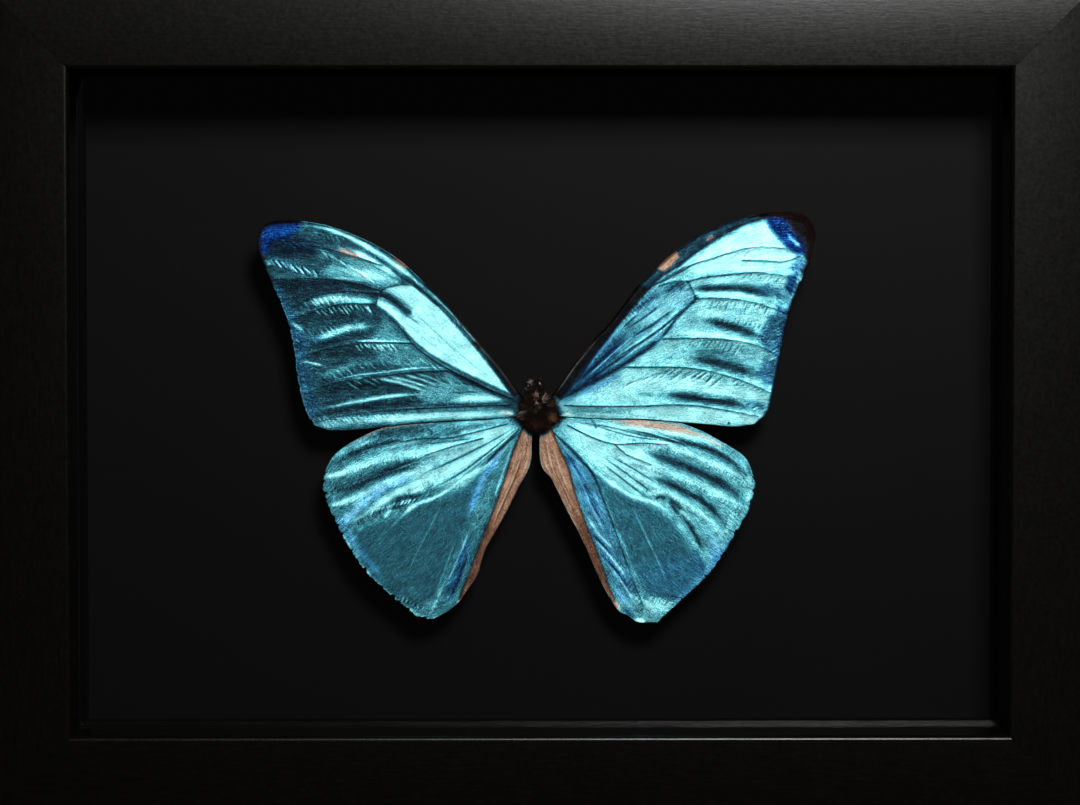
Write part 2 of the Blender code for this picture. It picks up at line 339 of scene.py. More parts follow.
class Grain(Enum):
    """Which way the brushed grain of a painted rail runs."""

    ACROSS = (0.15, 1.0, 1.0)
    UPRIGHT = (1.0, 1.0, 0.15)


@dataclass(frozen=True)
class SatinPaint:
    """Black-brown satin paint over fine-grained wood."""

    colour: Colour = (0.0012, 0.0011, 0.0007)
    worn: Colour = (0.0024, 0.0022, 0.0015)
    roughness: float = 0.25
    gloss: float = 0.16
    grain_scale: float = 2600.0
    peel_scale: float = 1500.0
    relief: float = 0.00006

    def make(self, name: str, grain: Grain) -> Material:
        """Make the paint.

        Args:
            name: name of the material.
            grain: which way the grain runs.

        Returns:
            The material.
        """
        recipe = Recipe(name)
        lines = recipe.noise(self.grain_scale, 3.0, recipe.stretched(grain.value))
        peel = recipe.noise(self.peel_scale, 2.0)
        height = recipe.blend(lines, 0.6, peel)
        recipe.set(
            Base_Color=recipe.ramp(lines, {0.3: self.colour, 0.8: self.worn}),
            Roughness=recipe.about(self.roughness, 0.05, peel),
            Specular_IOR_Level=self.gloss,
        )
        recipe.bump(height, 0.22, self.relief)
        return recipe.material


@dataclass(frozen=True)
class ClearGlass:
    """Clean picture glass, faintly uneven, which lets the lamp through."""

    tint: Colour = (0.985, 0.995, 0.99)

    def make(self) -> Material:
        """Make the glass.

        Returns:
            The material.
        """
        recipe = Recipe("clear_glass")
        haze = recipe.noise(60.0, 1.0)
        recipe.set(
            Base_Color=recipe.ramp(haze, {0.2: self.tint, 0.8: (1.0, 1.0, 1.0)}),
            Transmission_Weight=1.0,
            Roughness=0.0,
            IOR=1.5,
        )
        return recipe.material


@dataclass(frozen=True)
class MountCard:
    """Matte charcoal card with a fine fibre tooth and a little dust."""

    dark: Colour = (0.0003, 0.0003, 0.0003)
    light: Colour = (0.0012, 0.0012, 0.0012)
    dust: Colour = (0.04, 0.04, 0.04)
    roughness: float = 0.5
    gloss: float = 0.05

    def make(self, name: str) -> Material:
        """Make the card.

        Args:
            name: name of the material.

        Returns:
            The material.
        """
        recipe = Recipe(name)
        fibre = recipe.noise(4200.0, 4.0, recipe.stretched((0.6, 1.0, 1.0)))
        cloud = recipe.noise(35.0, 3.0)
        mottled = recipe.blend(fibre, 0.7, cloud)
        card = recipe.ramp(mottled, {0.3: self.dark, 0.7: self.light})
        specks = recipe.sum("LESS_THAN", recipe.cells(140.0), 0.012)
        recipe.set(
            Base_Color=recipe.mixed(specks, card, self.dust),
            Roughness=recipe.about(self.roughness, 0.06, fibre),
            Specular_IOR_Level=self.gloss,
        )
        recipe.bump(fibre, 0.3, 0.00004)
        return recipe.material


@dataclass(frozen=True)
class Hardboard:
    """Bare pressed fibreboard of the back panel."""

    def make(self) -> Material:
        """Make the fibreboard.

        Returns:
            The material.
        """
        recipe = Recipe("hardboard")
        fibre = recipe.noise(1500.0, 6.0, recipe.stretched((0.4, 1.0, 1.0)), 0.7)
        blotch = recipe.noise(45.0, 4.0)
        mottled = recipe.blend(fibre, 0.65, blotch)
        recipe.set(
            Base_Color=recipe.ramp(mottled, {0.3: (0.10, 0.055, 0.028), 0.5: (0.19, 0.11, 0.058),
                                             0.7: (0.27, 0.17, 0.095)}),
            Roughness=recipe.about(0.62, 0.12, fibre),
        )
        recipe.bump(fibre, 0.5, 0.00012)
        return recipe.material


@dataclass(frozen=True)
class ZincSteel:
    """Thin zinc-plated steel with drawing lines and dull patches."""

    def make(self) -> Material:
        """Make the steel.

        Returns:
            The material.
        """
        recipe = Recipe("zinc_steel")
        lines = recipe.noise(5200.0, 3.0, recipe.stretched((1.0, 1.0, 0.06)))
        patches = recipe.noise(420.0, 3.0)
        recipe.set(
            Base_Color=recipe.ramp(patches, {0.3: (0.42, 0.41, 0.38), 0.7: (0.62, 0.61, 0.57)}),
            Metallic=1.0,
            Roughness=recipe.about(0.36, 0.14, lines),
        )
        recipe.bump(lines, 0.25, 0.00003)
        return recipe.material


@dataclass(frozen=True)
class BlackFoam:
    """Black foam of the block that carries the specimen."""

    def make(self) -> Material:
        """Make the foam.

        Returns:
            The material.
        """
        recipe = Recipe("block_foam")
        pores = recipe.cells(3200.0)
        recipe.set(
            Base_Color=recipe.ramp(pores, {0.1: (0.006, 0.006, 0.006), 0.6: (0.025, 0.025, 0.026)}),
            Roughness=0.95,
        )
        recipe.bump(pores, 0.8, 0.0002)
        return recipe.material


@dataclass(frozen=True)
class WingScales:
    """Iridescent scales, from their lightness and shares of deep blue, brown and tan stored on the wing.

    dull_tan is how much of the metallic look the tan scales lose. The spreads are how far the grain, and
    then the dots, fine rays, broad rays and clouds, move the lightness up and down. The stored lightness
    paints the sheet's highlights and shade as well as the scales' own pattern.
    """

    roughness: float = 0.58
    dull_tan: float = 0.75
    grain_spread: float = 0.55
    spreads: tuple[float, ...] = (0.4, 0.36, 0.16, 0.12)

    def make(self, name: str) -> Material:
        """Make the scales.

        Args:
            name: name of the material.

        Returns:
            The material.
        """
        recipe = Recipe(name)
        rays = recipe.stored("rays", "Vector")
        grain = recipe.noise(6500.0, 1.0)
        dots = recipe.noise(14000.0, 0.0)
        fine_rays = recipe.noise(6.0, 2.0, rays)
        broad_rays = recipe.noise(1.6, 3.0, rays)
        cloud = recipe.noise(900.0, 3.0)
        tone = recipe.stored("tone")
        mottle = recipe.about(0.0, self.grain_spread, grain)
        for pattern, spread in zip((dots, fine_rays, broad_rays, cloud), self.spreads):
            mottle = recipe.sum("ADD", mottle, recipe.about(0.0, spread, pattern))
        tone = recipe.sum("ADD", tone, recipe.sum("MULTIPLY", mottle, recipe.stored("rough")))
        # The pale tops of the cyan and deep ramps are painted highlights; their dark ends carry painted shade
        # as well as dark scales.
        cyan = recipe.ramp(tone, {
            0.0: (0.004, 0.008, 0.013), 0.2: (0.012, 0.036, 0.058), 0.4: (0.022, 0.115, 0.155),
            0.58: (0.055, 0.30, 0.37), 0.76: (0.17, 0.62, 0.69), 1.0: (0.50, 0.97, 0.96),
        })
        deep = recipe.ramp(tone, {
            0.0: (0.001, 0.001, 0.006), 0.3: (0.002, 0.012, 0.08), 0.55: (0.005, 0.07, 0.38),
            0.8: (0.05, 0.42, 0.82), 1.0: (0.38, 0.86, 1.0),
        })
        brown = recipe.ramp(tone, {0.0: (0.0015, 0.0008, 0.0006), 0.5: (0.012, 0.006, 0.006),
                                   1.0: (0.09, 0.055, 0.05)})
        tan = recipe.ramp(tone, {0.0: (0.03, 0.010, 0.005), 0.5: (0.25, 0.120, 0.063),
                                 1.0: (0.80, 0.58, 0.44)})
        colour = recipe.mixed(recipe.stored("azure"), cyan, deep)
        colour = recipe.mixed(recipe.stored("brown"), colour, brown)
        colour = recipe.mixed(recipe.stored("tan"), colour, tan)
        recipe.set(
            Base_Color=colour,
            Metallic=recipe.sum("SUBTRACT", 1.0, recipe.sum("MULTIPLY", recipe.stored("tan"), self.dull_tan)),
            Roughness=recipe.about(self.roughness, 0.1, grain),
            Specular_IOR_Level=0.15,
        )
        height = recipe.sum("ADD", recipe.sum("MULTIPLY", grain, 0.5), fine_rays)
        recipe.bump(height, 0.5, 0.00006)
        return recipe.material


@dataclass(frozen=True)
class BodyHair:
    """Hair and skin of the body, from black-brown to tan and in places orange, as stored on the mesh."""

    def make(self, name: str) -> Material:
        """Make the hair.

        Args:
            name: name of the material.

        Returns:
            The material.
        """
        recipe = Recipe(name)
        grain = recipe.noise(5000.0, 2.0)
        shade = recipe.sum("ADD", recipe.stored("shade"), recipe.about(0.0, 0.12, grain))
        brown = recipe.ramp(shade, {
            0.0: (0.0025, 0.0012, 0.0006), 0.35: (0.012, 0.0055, 0.0025), 0.6: (0.05, 0.026, 0.012),
            0.8: (0.22, 0.13, 0.07), 1.0: (0.72, 0.58, 0.50),
        })
        orange = recipe.ramp(shade, {0.0: (0.03, 0.006, 0.002), 0.6: (0.30, 0.07, 0.015),
                                     1.0: (0.65, 0.30, 0.08)})
        recipe.set(
            Base_Color=recipe.mixed(recipe.stored("warm"), brown, orange),
            Roughness=recipe.about(0.42, 0.1, grain),
            Specular_IOR_Level=0.12,
        )
        recipe.bump(grain, 0.3, 0.00003)
        return recipe.material


@dataclass(frozen=True)
class EyeGloss:
    """Dark faceted eye with a glossy surface."""

    def make(self) -> Material:
        """Make the eye's surface.

        Returns:
            The material.
        """
        recipe = Recipe("eye_gloss")
        facets = recipe.cells(16000.0)
        recipe.set(
            Base_Color=recipe.ramp(facets, {0.0: (0.018, 0.010, 0.006), 0.7: (0.005, 0.003, 0.002)}),
            Roughness=0.16,
            Coat_Weight=0.6,
            Coat_Roughness=0.08,
        )
        recipe.bump(facets, 0.08, 0.00001)
        return recipe.material


@dataclass(frozen=True)
class StudioGrey:
    """Pale, very slightly mottled paper of the floor."""

    colour: Colour = (0.62, 0.61, 0.59)

    def make(self) -> Material:
        """Make the paper.

        Returns:
            The material.
        """
        recipe = Recipe("studio_floor")
        cloud = recipe.noise(9.0, 3.0)
        darker = tuple(part * 0.95 for part in self.colour)
        recipe.set(Base_Color=recipe.ramp(cloud, {0.3: darker, 0.7: self.colour}), Roughness=0.9)
        return recipe.material


# ---------------------------------------------------------------- frame

@dataclass
class Moulding:
    """The four mitred rails, with their soft edges and grain."""

    inner_radius: float = 1.0 * MM
    outer_radius: float = 1.5 * MM
    rounding_steps: int = 8
    mitre_gap: float = 0.06 * MM
    clearance: float = 0.25 * MM
    paint: SatinPaint = field(default_factory=SatinPaint)

    def profile(self, width: float, depth: float, lip_depth: float, lip_reach: float) -> list[Point]:
        """Draw the section.

        Args:
            width: width of the moulding's face.
            depth: full depth of the frame.
            lip_depth: depth of the lip.
            lip_reach: how far the lip stands in from the rebate.

        Returns:
            Points as (distance out from the opening, depth from the face).
        """
        points = []
        for step in range(self.rounding_steps + 1):
            angle = math.pi / 2 * step / self.rounding_steps
            points.append((self.inner_radius * (1 - math.cos(angle)),
                           self.inner_radius * (1 - math.sin(angle))))
        for step in range(self.rounding_steps + 1):
            angle = math.pi / 2 * step / self.rounding_steps
            points.append((width - self.outer_radius * (1 - math.sin(angle)),
                           self.outer_radius * (1 - math.cos(angle))))
        points += [(width, depth), (lip_reach, depth), (lip_reach, lip_depth), (0.0, lip_depth)]
        return points

    def rail(self, name: str, opening: tuple[Vector, Vector], outward: Vector, section: list[Point],
             front: float) -> bpy.types.Object:
        """Build one rail with both ends cut at 45 degrees.

        Args:
            name: name of the piece.
            opening: the lower left and upper right corners of the opening.
            outward: direction from the opening to the rail.
            section: the moulding's section.
            front: Y of the frame's face.

        Returns:
            The rail.
        """
        low, high = opening
        middle = (low + high) / 2
        along = Vector((outward.z, 0.0, -outward.x))
        half_size = (high - low) / 2
        half_out = abs(half_size.dot(outward))
        half_along = abs(half_size.dot(along))
        corners = []
        for end in (-1, 1):
            for out, depth in section:
                reach = half_along + out - self.mitre_gap / 2
                place = middle + outward * (half_out + out) + along * (end * reach)
                corners.append((place.x, front + depth, place.z))
        count = len(section)
        faces = []
        for index in range(count):
            after = (index + 1) % count
            faces.append([index, after, after + count, index + count])
        faces.append(list(range(count))[::-1])
        faces.append([index + count for index in range(count)])
        grain = Grain.ACROSS if abs(outward.z) > 0.5 else Grain.UPRIGHT
        rail = new_mesh_object(name, np.array(corners), faces, self.paint.make(f"paint_{name}", grain))
        rail.data.set_sharp_from_angle(angle=math.radians(35))
        return rail

    def build(self) -> list[bpy.types.Object]:
        """Build the four rails where the CAD rails are.

        Returns:
            The rails.
        """
        top_low, top_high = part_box("rail_top")
        _, bottom_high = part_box("rail_bottom")
        _, left_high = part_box("rail_left")
        right_low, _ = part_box("rail_right")
        low = Vector((left_high[0], 0.0, bottom_high[2]))
        high = Vector((right_low[0], 0.0, top_low[2]))
        _, board_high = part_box("mount_board")
        glass_low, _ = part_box("glass")
        width = top_high[2] - top_low[2]
        depth = top_high[1] - top_low[1]
        front = top_low[1]
        lip_reach = (board_high[0] - high.x) + self.clearance
        section = self.profile(width, depth, glass_low[1] - front - self.clearance, lip_reach)
        rails = []
        sides = {"top": (0, 0, 1), "bottom": (0, 0, -1), "left": (-1, 0, 0), "right": (1, 0, 0)}
        for side, outward in sides.items():
            rail = self.rail(f"moulding_{side}", (low, high), Vector(outward), section, front)
            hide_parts(f"rail_{side}")
            rails.append(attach(rail, BODY))
        return rails


@dataclass
class Glazing:
    """The glass, spacers, boards and fixings that keep their CAD shape and get a finish."""

    def dress(self) -> None:
        """Give each carried-over CAD piece its material."""
        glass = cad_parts["glass"]
        self.coat(glass, ClearGlass().make())
        glass.visible_shadow = False
        glass.visible_diffuse = False
        glass.visible_glossy = False
        card = MountCard().make("mount_card")
        self.coat(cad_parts["mount_board"], card)
        strip = MountCard(roughness=0.7, gloss=0.05).make("spacer_card")
        steel = ZincSteel().make()
        for side in ("top", "bottom", "left", "right"):
            self.coat(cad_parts[f"spacer_{side}"], strip)
        for name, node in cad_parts.items():
            if name.startswith("tab_") or name.startswith("hanger_"):
                self.coat(node, steel)
        self.coat(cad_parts["back_panel"], Hardboard().make())
        self.coat(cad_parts["mount_block"], BlackFoam().make())

    @staticmethod
    def coat(node: bpy.types.Object, material: Material) -> None:
        """Put one material on a CAD node."""
        node.data.materials.clear()
        node.data.materials.append(material)


# ---------------------------------------------------------------- wings

@dataclass(frozen=True)
class Stroke:
    """A soft line on a wing, along which its lightness, slope or colour changes.

    tone is the lightness in the middle of the line, which for many strokes paints the highlight on a fold or
    the shade beside it rather than the scales' own colour; tilt the slope that faces the lamp above, ridge a
    height in millimetres, and azure, brown and tan are shares of those colours that are added.
    """

    path: Path
    width: float
    tone: float
    tilt: float = 0.0
    ridge: float = 0.0
    azure: float = 0.0
    brown: float = 0.0
    tan: float = 0.0
    blunt: float = 0.25


@dataclass(frozen=True)
class Patch:
    """A closed area of a wing with a feathered edge and its own lightness and colour.

    calm is how much smoother it is than the sheet round it. The lightness of a patch is in places painted
    shade, as in the hollows, or a painted highlight where the sheet faces the lamp.
    """

    outline: Path
    feather: float
    tone: float
    azure: float = 0.0
    brown: float = 0.0
    tan: float = 0.0
    calm: float = 0.0


@dataclass(frozen=True)
class Teeth:
    """A comb of short slanted creases that hang from a line.

    tooth is the way from a crease's foot to its tip, pitch the spacing and strength the painted lightness:
    above 0 the creases carry a painted highlight, below 0 painted shade.
    """

    path: Path
    tooth: Point
    pitch: float
    strength: float
    width: float = 0.17


@dataclass
class Field:
    """Places on a wing, in millimetres, and distances from its lines."""

    points: np.ndarray

    def near(self, path: Path, reach: float = 1e3) -> tuple[np.ndarray, np.ndarray, np.ndarray]:
        """Measure the points against a line.

        Args:
            path: the points that the line passes through.
            reach: how far from the line a point still matters.

        Returns:
            The distance, +1 above the line and -1 below it, and the fraction of the line's length.
        """
        line = smooth_path(path, 6) if len(path) > 2 else np.array(path, dtype=float)
        distance = np.full(len(self.points), 1e9)
        along = np.zeros(len(self.points))
        side = np.ones(len(self.points))
        above_low = self.points > line.min(axis=0) - reach
        below_high = self.points < line.max(axis=0) + reach
        close = np.all(above_low & below_high, axis=1)
        points = self.points[close]
        squares = np.full(len(points), 1e9)
        travel = np.zeros(len(points))
        above = np.ones(len(points))
        steps = np.diff(line, axis=0)
        lengths = np.linalg.norm(steps, axis=1)
        travelled = np.concatenate([[0.0], np.cumsum(lengths)])
        rightward = 1.0 if line[-1, 0] >= line[0, 0] else -1.0
        for start, step, length, before in zip(line[:-1], steps, lengths, travelled):
            offset = points - start
            t = np.clip(offset @ step / max(length ** 2, 1e-9), 0.0, 1.0)
            gap = offset - t[:, None] * step
            squared = (gap ** 2).sum(axis=1)
            closer = squared < squares
            squares = np.where(closer, squared, squares)
            travel = np.where(closer, before + t * length, travel)
            cross = (step[0] * offset[:, 1] - step[1] * offset[:, 0]) * rightward
            above = np.where(closer, np.where(cross >= 0, 1.0, -1.0), above)
        distance[close] = np.sqrt(squares)
        along[close] = travel / travelled[-1]
        side[close] = above
        return distance, side, along

    def crease(self, foot: np.ndarray, tip: np.ndarray, width: float) -> tuple[np.ndarray, np.ndarray]:
        """Find the points of one short crease.

        Args:
            foot: where the crease starts.
            tip: where it ends.
            width: its half width.

        Returns:
            The numbers of the points on it and how strongly each one shows it.
        """
        margin = 3 * width
        low = np.minimum(foot, tip) - margin
        high = np.maximum(foot, tip) + margin
        found = np.flatnonzero(np.all((self.points > low) & (self.points < high), axis=1))
        step = tip - foot
        offset = self.points[found] - foot
        t = np.clip(offset @ step / (step @ step), 0.0, 1.0)
        distance = np.linalg.norm(offset - t[:, None] * step, axis=1)
        taper = fade(t, -0.05, 0.3) * (1 - fade(t, 0.55, 1.0))
        return found, np.exp(-(distance / width) ** 2) * taper

    def inside(self, outline: Path, feather: float) -> np.ndarray:
        """Tell the points inside an outline from those outside it.

        Args:
            outline: the outline's corners.
            feather: how far to each side of the outline the change takes.

        Returns:
            1 for a point inside, 0 outside, and a value between near the outline.
        """
        corners = np.array(outline, dtype=float)
        crossings = np.zeros(len(self.points), dtype=bool)
        x, z = self.points[:, 0], self.points[:, 1]
        for start, end in zip(corners, np.roll(corners, -1, axis=0)):
            spans = (start[1] > z) != (end[1] > z)
            slope = (end[0] - start[0]) / (end[1] - start[1] + 1e-12)
            crossings ^= spans & (x < start[0] + slope * (z - start[1]))
        line = np.vstack([corners, corners[:1]])
        distance = np.full(len(self.points), 1e9)
        for start, end in zip(line[:-1], line[1:]):
            step = end - start
            offset = self.points - start
            t = np.clip(offset @ step / max(step @ step, 1e-9), 0.0, 1.0)
            distance = np.minimum(distance, np.linalg.norm(offset - t[:, None] * step, axis=1))
        signed = np.where(crossings, distance, -distance)
        return fade(signed, -feather, feather)


@dataclass
class Wing:
    """One wing: a veined, pleated sheet between four smooth edges.

    base runs across the root from the leading to the trailing side. lead and trail run outwards from it,
    and outer joins their ends. Lengths are in millimetres, lean and lift in degrees.
    """

    name: str
    base: Path
    lead: Path
    outer: Path
    trail: Path
    above_board: float
    lift: float
    # Overall lightness of the wing, which also paints how much light the whole wing catches: the left wings
    # are painted darker than the right.
    base_tone_and_shading: float
    veins: tuple[Path, ...]
    strokes: tuple[Stroke, ...]
    patches: tuple[Patch, ...] = ()
    teeth: tuple[Teeth, ...] = ()
    lean: float = 1.0
    sag: float = 0.1
    sag_reach: float = 1.5
    vein_width: float = 0.15
    vein_ridge: float = 0.06
    vein_tone: float = 0.1
    vein_strength: float = 0.75
    # How much painted light and shade follows the sheet's slope towards the lamp.
    slope_shading_gain: float = 0.2
    tilt_gain: float = 0.3
    tooth_ridge: float = 0.05
    ragged: float = 0.15
    rows: int = 240
    columns: int = 340
    seed: int = 1
    membrane: float = 0.1
    rays_across: float = 30.0
    rays_along: float = 5.0
    steepest: float = 0.6

    def grid(self) -> np.ndarray:
        """Spread a grid of points between the four edges.

        Returns:
            An array of rows x columns x (across, up).
        """
        across = np.linspace(0, 1, self.rows)
        outward = np.linspace(0, 1, self.columns)
        base = resample(smooth_path(self.base), across)
        outer = resample(smooth_path(self.outer), across)
        lead = resample(smooth_path(self.lead), outward)
        trail = resample(smooth_path(self.trail), outward)
        nicks = soft_noise(outer, 0.7, self.seed) + 0.6 * soft_noise(outer, 0.25, self.seed + 7)
        inward = base.mean(axis=0) - outer
        inward /= np.linalg.norm(inward, axis=1, keepdims=True)
        ends = np.minimum(fade(across, 0.0, 0.04), fade(-across, -1.0, -0.96))
        outer = outer + inward * (np.maximum(nicks, -0.3) * ends * self.ragged)[:, None]
        u = across[:, None, None]
        v = outward[None, :, None]
        ruled_across = (1 - u) * lead[None, :, :] + u * trail[None, :, :]
        ruled_outward = (1 - v) * base[:, None, :] + v * outer[:, None, :]
        corners = ((1 - u) * (1 - v) * base[0] + u * (1 - v) * base[-1]
                   + (1 - u) * v * outer[0] + u * v * outer[-1])
        return ruled_across + ruled_outward - corners

    def relief(self, field_: Field, calm: np.ndarray) -> np.ndarray:
        """Work out the height of the sheet towards the glass.

        Args:
            field_: the points of the grid.
            calm: 1 where the sheet is smooth, 0 where its folds are at full strength.

        Returns:
            Heights in millimetres.
        """
        nearest = np.full(len(field_.points), 1e9)
        height = np.zeros(len(field_.points))
        for path in self.veins:
            distance, _, along = field_.near(path, 4 * self.sag_reach)
            nearest = np.minimum(nearest, distance)
            height += self.vein_ridge * np.exp(-(distance / self.vein_width) ** 2) * (1 - 0.6 * along)
        height += self.sag * (np.exp(-nearest / self.sag_reach) - 1) * (1 - 0.7 * calm)
        height += 0.05 * soft_noise(field_.points, 2.2, self.seed + 11) * (1 - 0.8 * calm)
        height -= math.tan(math.radians(self.lean)) * (field_.points[:, 1] - field_.points[:, 1].mean())
        return height

    def paint(self, field_: Field) -> dict[str, np.ndarray]:
        """Work out every value that is stored on the sheet, and its height.

        Args:
            field_: the points of the grid.

        Returns:
            tone, azure, brown, tan, rough and height, one value each for every point.
        """
        points = field_.points
        values = {key: np.zeros(len(points)) for key in ("tone", "azure", "brown", "tan")}
        values["tone"] += self.base_tone_and_shading
        calm = np.zeros(len(points))
        height = np.zeros(len(points))
        for patch in self.patches:
            mask = field_.inside(patch.outline, patch.feather)
            values["tone"] += (patch.tone - values["tone"]) * mask
            calm = np.maximum(calm, patch.calm * mask)
            for key in ("azure", "brown", "tan"):
                values[key] += getattr(patch, key) * mask
        for stroke in self.strokes:
            distance, side, along = field_.near(stroke.path, 9 * stroke.width)
            ends = np.minimum(fade(along, -0.02, stroke.blunt), fade(-along, -1.02, -1.0 + stroke.blunt))
            width = stroke.width * (0.45 + 0.55 * ends)
            mask = np.exp(-(distance / width) ** 2) * (0.25 + 0.75 * ends)
            mask *= (distance < 3 * width)
            values["tone"] += (stroke.tone - values["tone"]) * mask
            for key in ("azure", "brown", "tan"):
                values[key] += getattr(stroke, key) * mask
            height += stroke.ridge * mask
            away = np.exp(-(distance / (3.0 * width)) ** 2)
            height -= self.tilt_gain * stroke.tilt * width * np.tanh(side * distance / width) * away * ends
        self.comb(field_, values["tone"], height)
        for path in self.veins:
            distance, _, along = field_.near(path, 4 * self.vein_width)
            line = np.exp(-(distance / (self.vein_width * (1.15 - 0.5 * along))) ** 2)
            values["tone"] += (self.vein_tone - values["tone"]) * self.vein_strength * line
        values["height"] = height + self.relief(field_, calm)
        values["rough"] = 1 - 0.5 * calm
        for key in ("azure", "brown", "tan"):
            values[key] = np.clip(values[key], 0.0, 1.0)
        return values

    def comb(self, field_: Field, tone: np.ndarray, height: np.ndarray) -> None:
        """Press the combs of creases into the sheet.

        Args:
            field_: the points of the grid.
            tone: lightness of each point, which is changed.
            height: height of each point, which is changed.
        """
        random = np.random.default_rng(self.seed)
        for teeth in self.teeth:
            line = smooth_path(teeth.path, 12)
            length = np.linalg.norm(np.diff(line, axis=0), axis=1).sum()
            count = max(2, round(length / teeth.pitch))
            places = (np.arange(count) + 0.5 + random.uniform(-0.22, 0.22, count)) / count
            sizes = random.uniform(0.55, 1.15, count)
            powers = random.uniform(0.45, 1.2, count)
            turns = random.normal(0.0, 0.09, count)
            gap = np.array([teeth.pitch * 0.42, 0.0])
            for foot, size, power, turn in zip(resample(line, places), sizes, powers, turns):
                way = np.array(teeth.tooth) * size
                way = way + turn * np.array([-way[1], way[0]])
                found, share = field_.crease(foot, foot + way, teeth.width)
                # Painted highlight on the crease, or painted shade where the strength is below 0.
                tone[found] += teeth.strength * power * share
                height[found] += self.tooth_ridge * power * share * np.sign(teeth.strength)
                # Painted shadow: a darker crease just beside each one, the shade that the crease casts.
                found, share = field_.crease(foot + gap, foot + gap + way, teeth.width)
                tone[found] -= 0.55 * teeth.strength * power * share

    def build(self) -> bpy.types.Object:
        """Build the wing where its CAD plate is.

        Returns:
            The wing.
        """
        grid = self.grid()
        flat = grid.reshape(-1, 2)
        values = self.paint(Field(flat))
        height = values.pop("height").reshape(self.rows, self.columns)
        rise_u, rise_v = np.gradient(height)
        step_u = np.gradient(grid, axis=0)
        step_v = np.gradient(grid, axis=1)
        area = step_u[..., 0] * step_v[..., 1] - step_u[..., 1] * step_v[..., 0]
        area = np.where(np.abs(area) < 1e-6, 1e-6, area)
        slope_up = (step_u[..., 0] * rise_v - step_v[..., 0] * rise_u) / area
        slope_up = np.clip(slope_up, -self.steepest, self.steepest)
        # Painted light and shade: the lightness changes with how far the sheet slopes towards the lamp above.
        values["tone"] = np.clip(values["tone"] - self.slope_shading_gain * slope_up.reshape(-1), 0.03, 1.0)
        low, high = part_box("mount_board")
        opening_middle = (low[2] + high[2]) / 2
        root = low[1] - self.above_board * MM
        x = flat[:, 0] * MM
        y = root - np.abs(x) * math.tan(math.radians(self.lift)) - height.reshape(-1) * MM
        z = opening_middle + flat[:, 1] * MM
        numbers = np.arange(len(flat)).reshape(self.rows, self.columns)
        faces = np.stack([numbers[:-1, :-1], numbers[:-1, 1:], numbers[1:, 1:], numbers[1:, :-1]], axis=-1)
        faces = faces.reshape(-1, 4)
        if area.mean() > 0:
            faces = faces[:, ::-1]
        material = WingScales().make(f"scales_{self.name}")
        wing = new_mesh_object(f"wing_{self.name}", np.stack([x, y, z], axis=1), faces.tolist(), material)
        for key, value in values.items():
            store(wing.data, key, value)
        across, along = np.meshgrid(np.linspace(0, self.rays_across, self.rows),
                                    np.linspace(0, self.rays_along, self.columns), indexing="ij")
        store_places(wing.data, "rays", np.stack([across, along, np.zeros_like(across)], axis=-1))
        rim = wing.modifiers.new("membrane", "SOLIDIFY")
        rim.thickness = self.membrane * MM
        rim.offset = -1.0
        rim.use_rim_only = True
        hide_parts(self.name)
        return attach(wing, BODY)


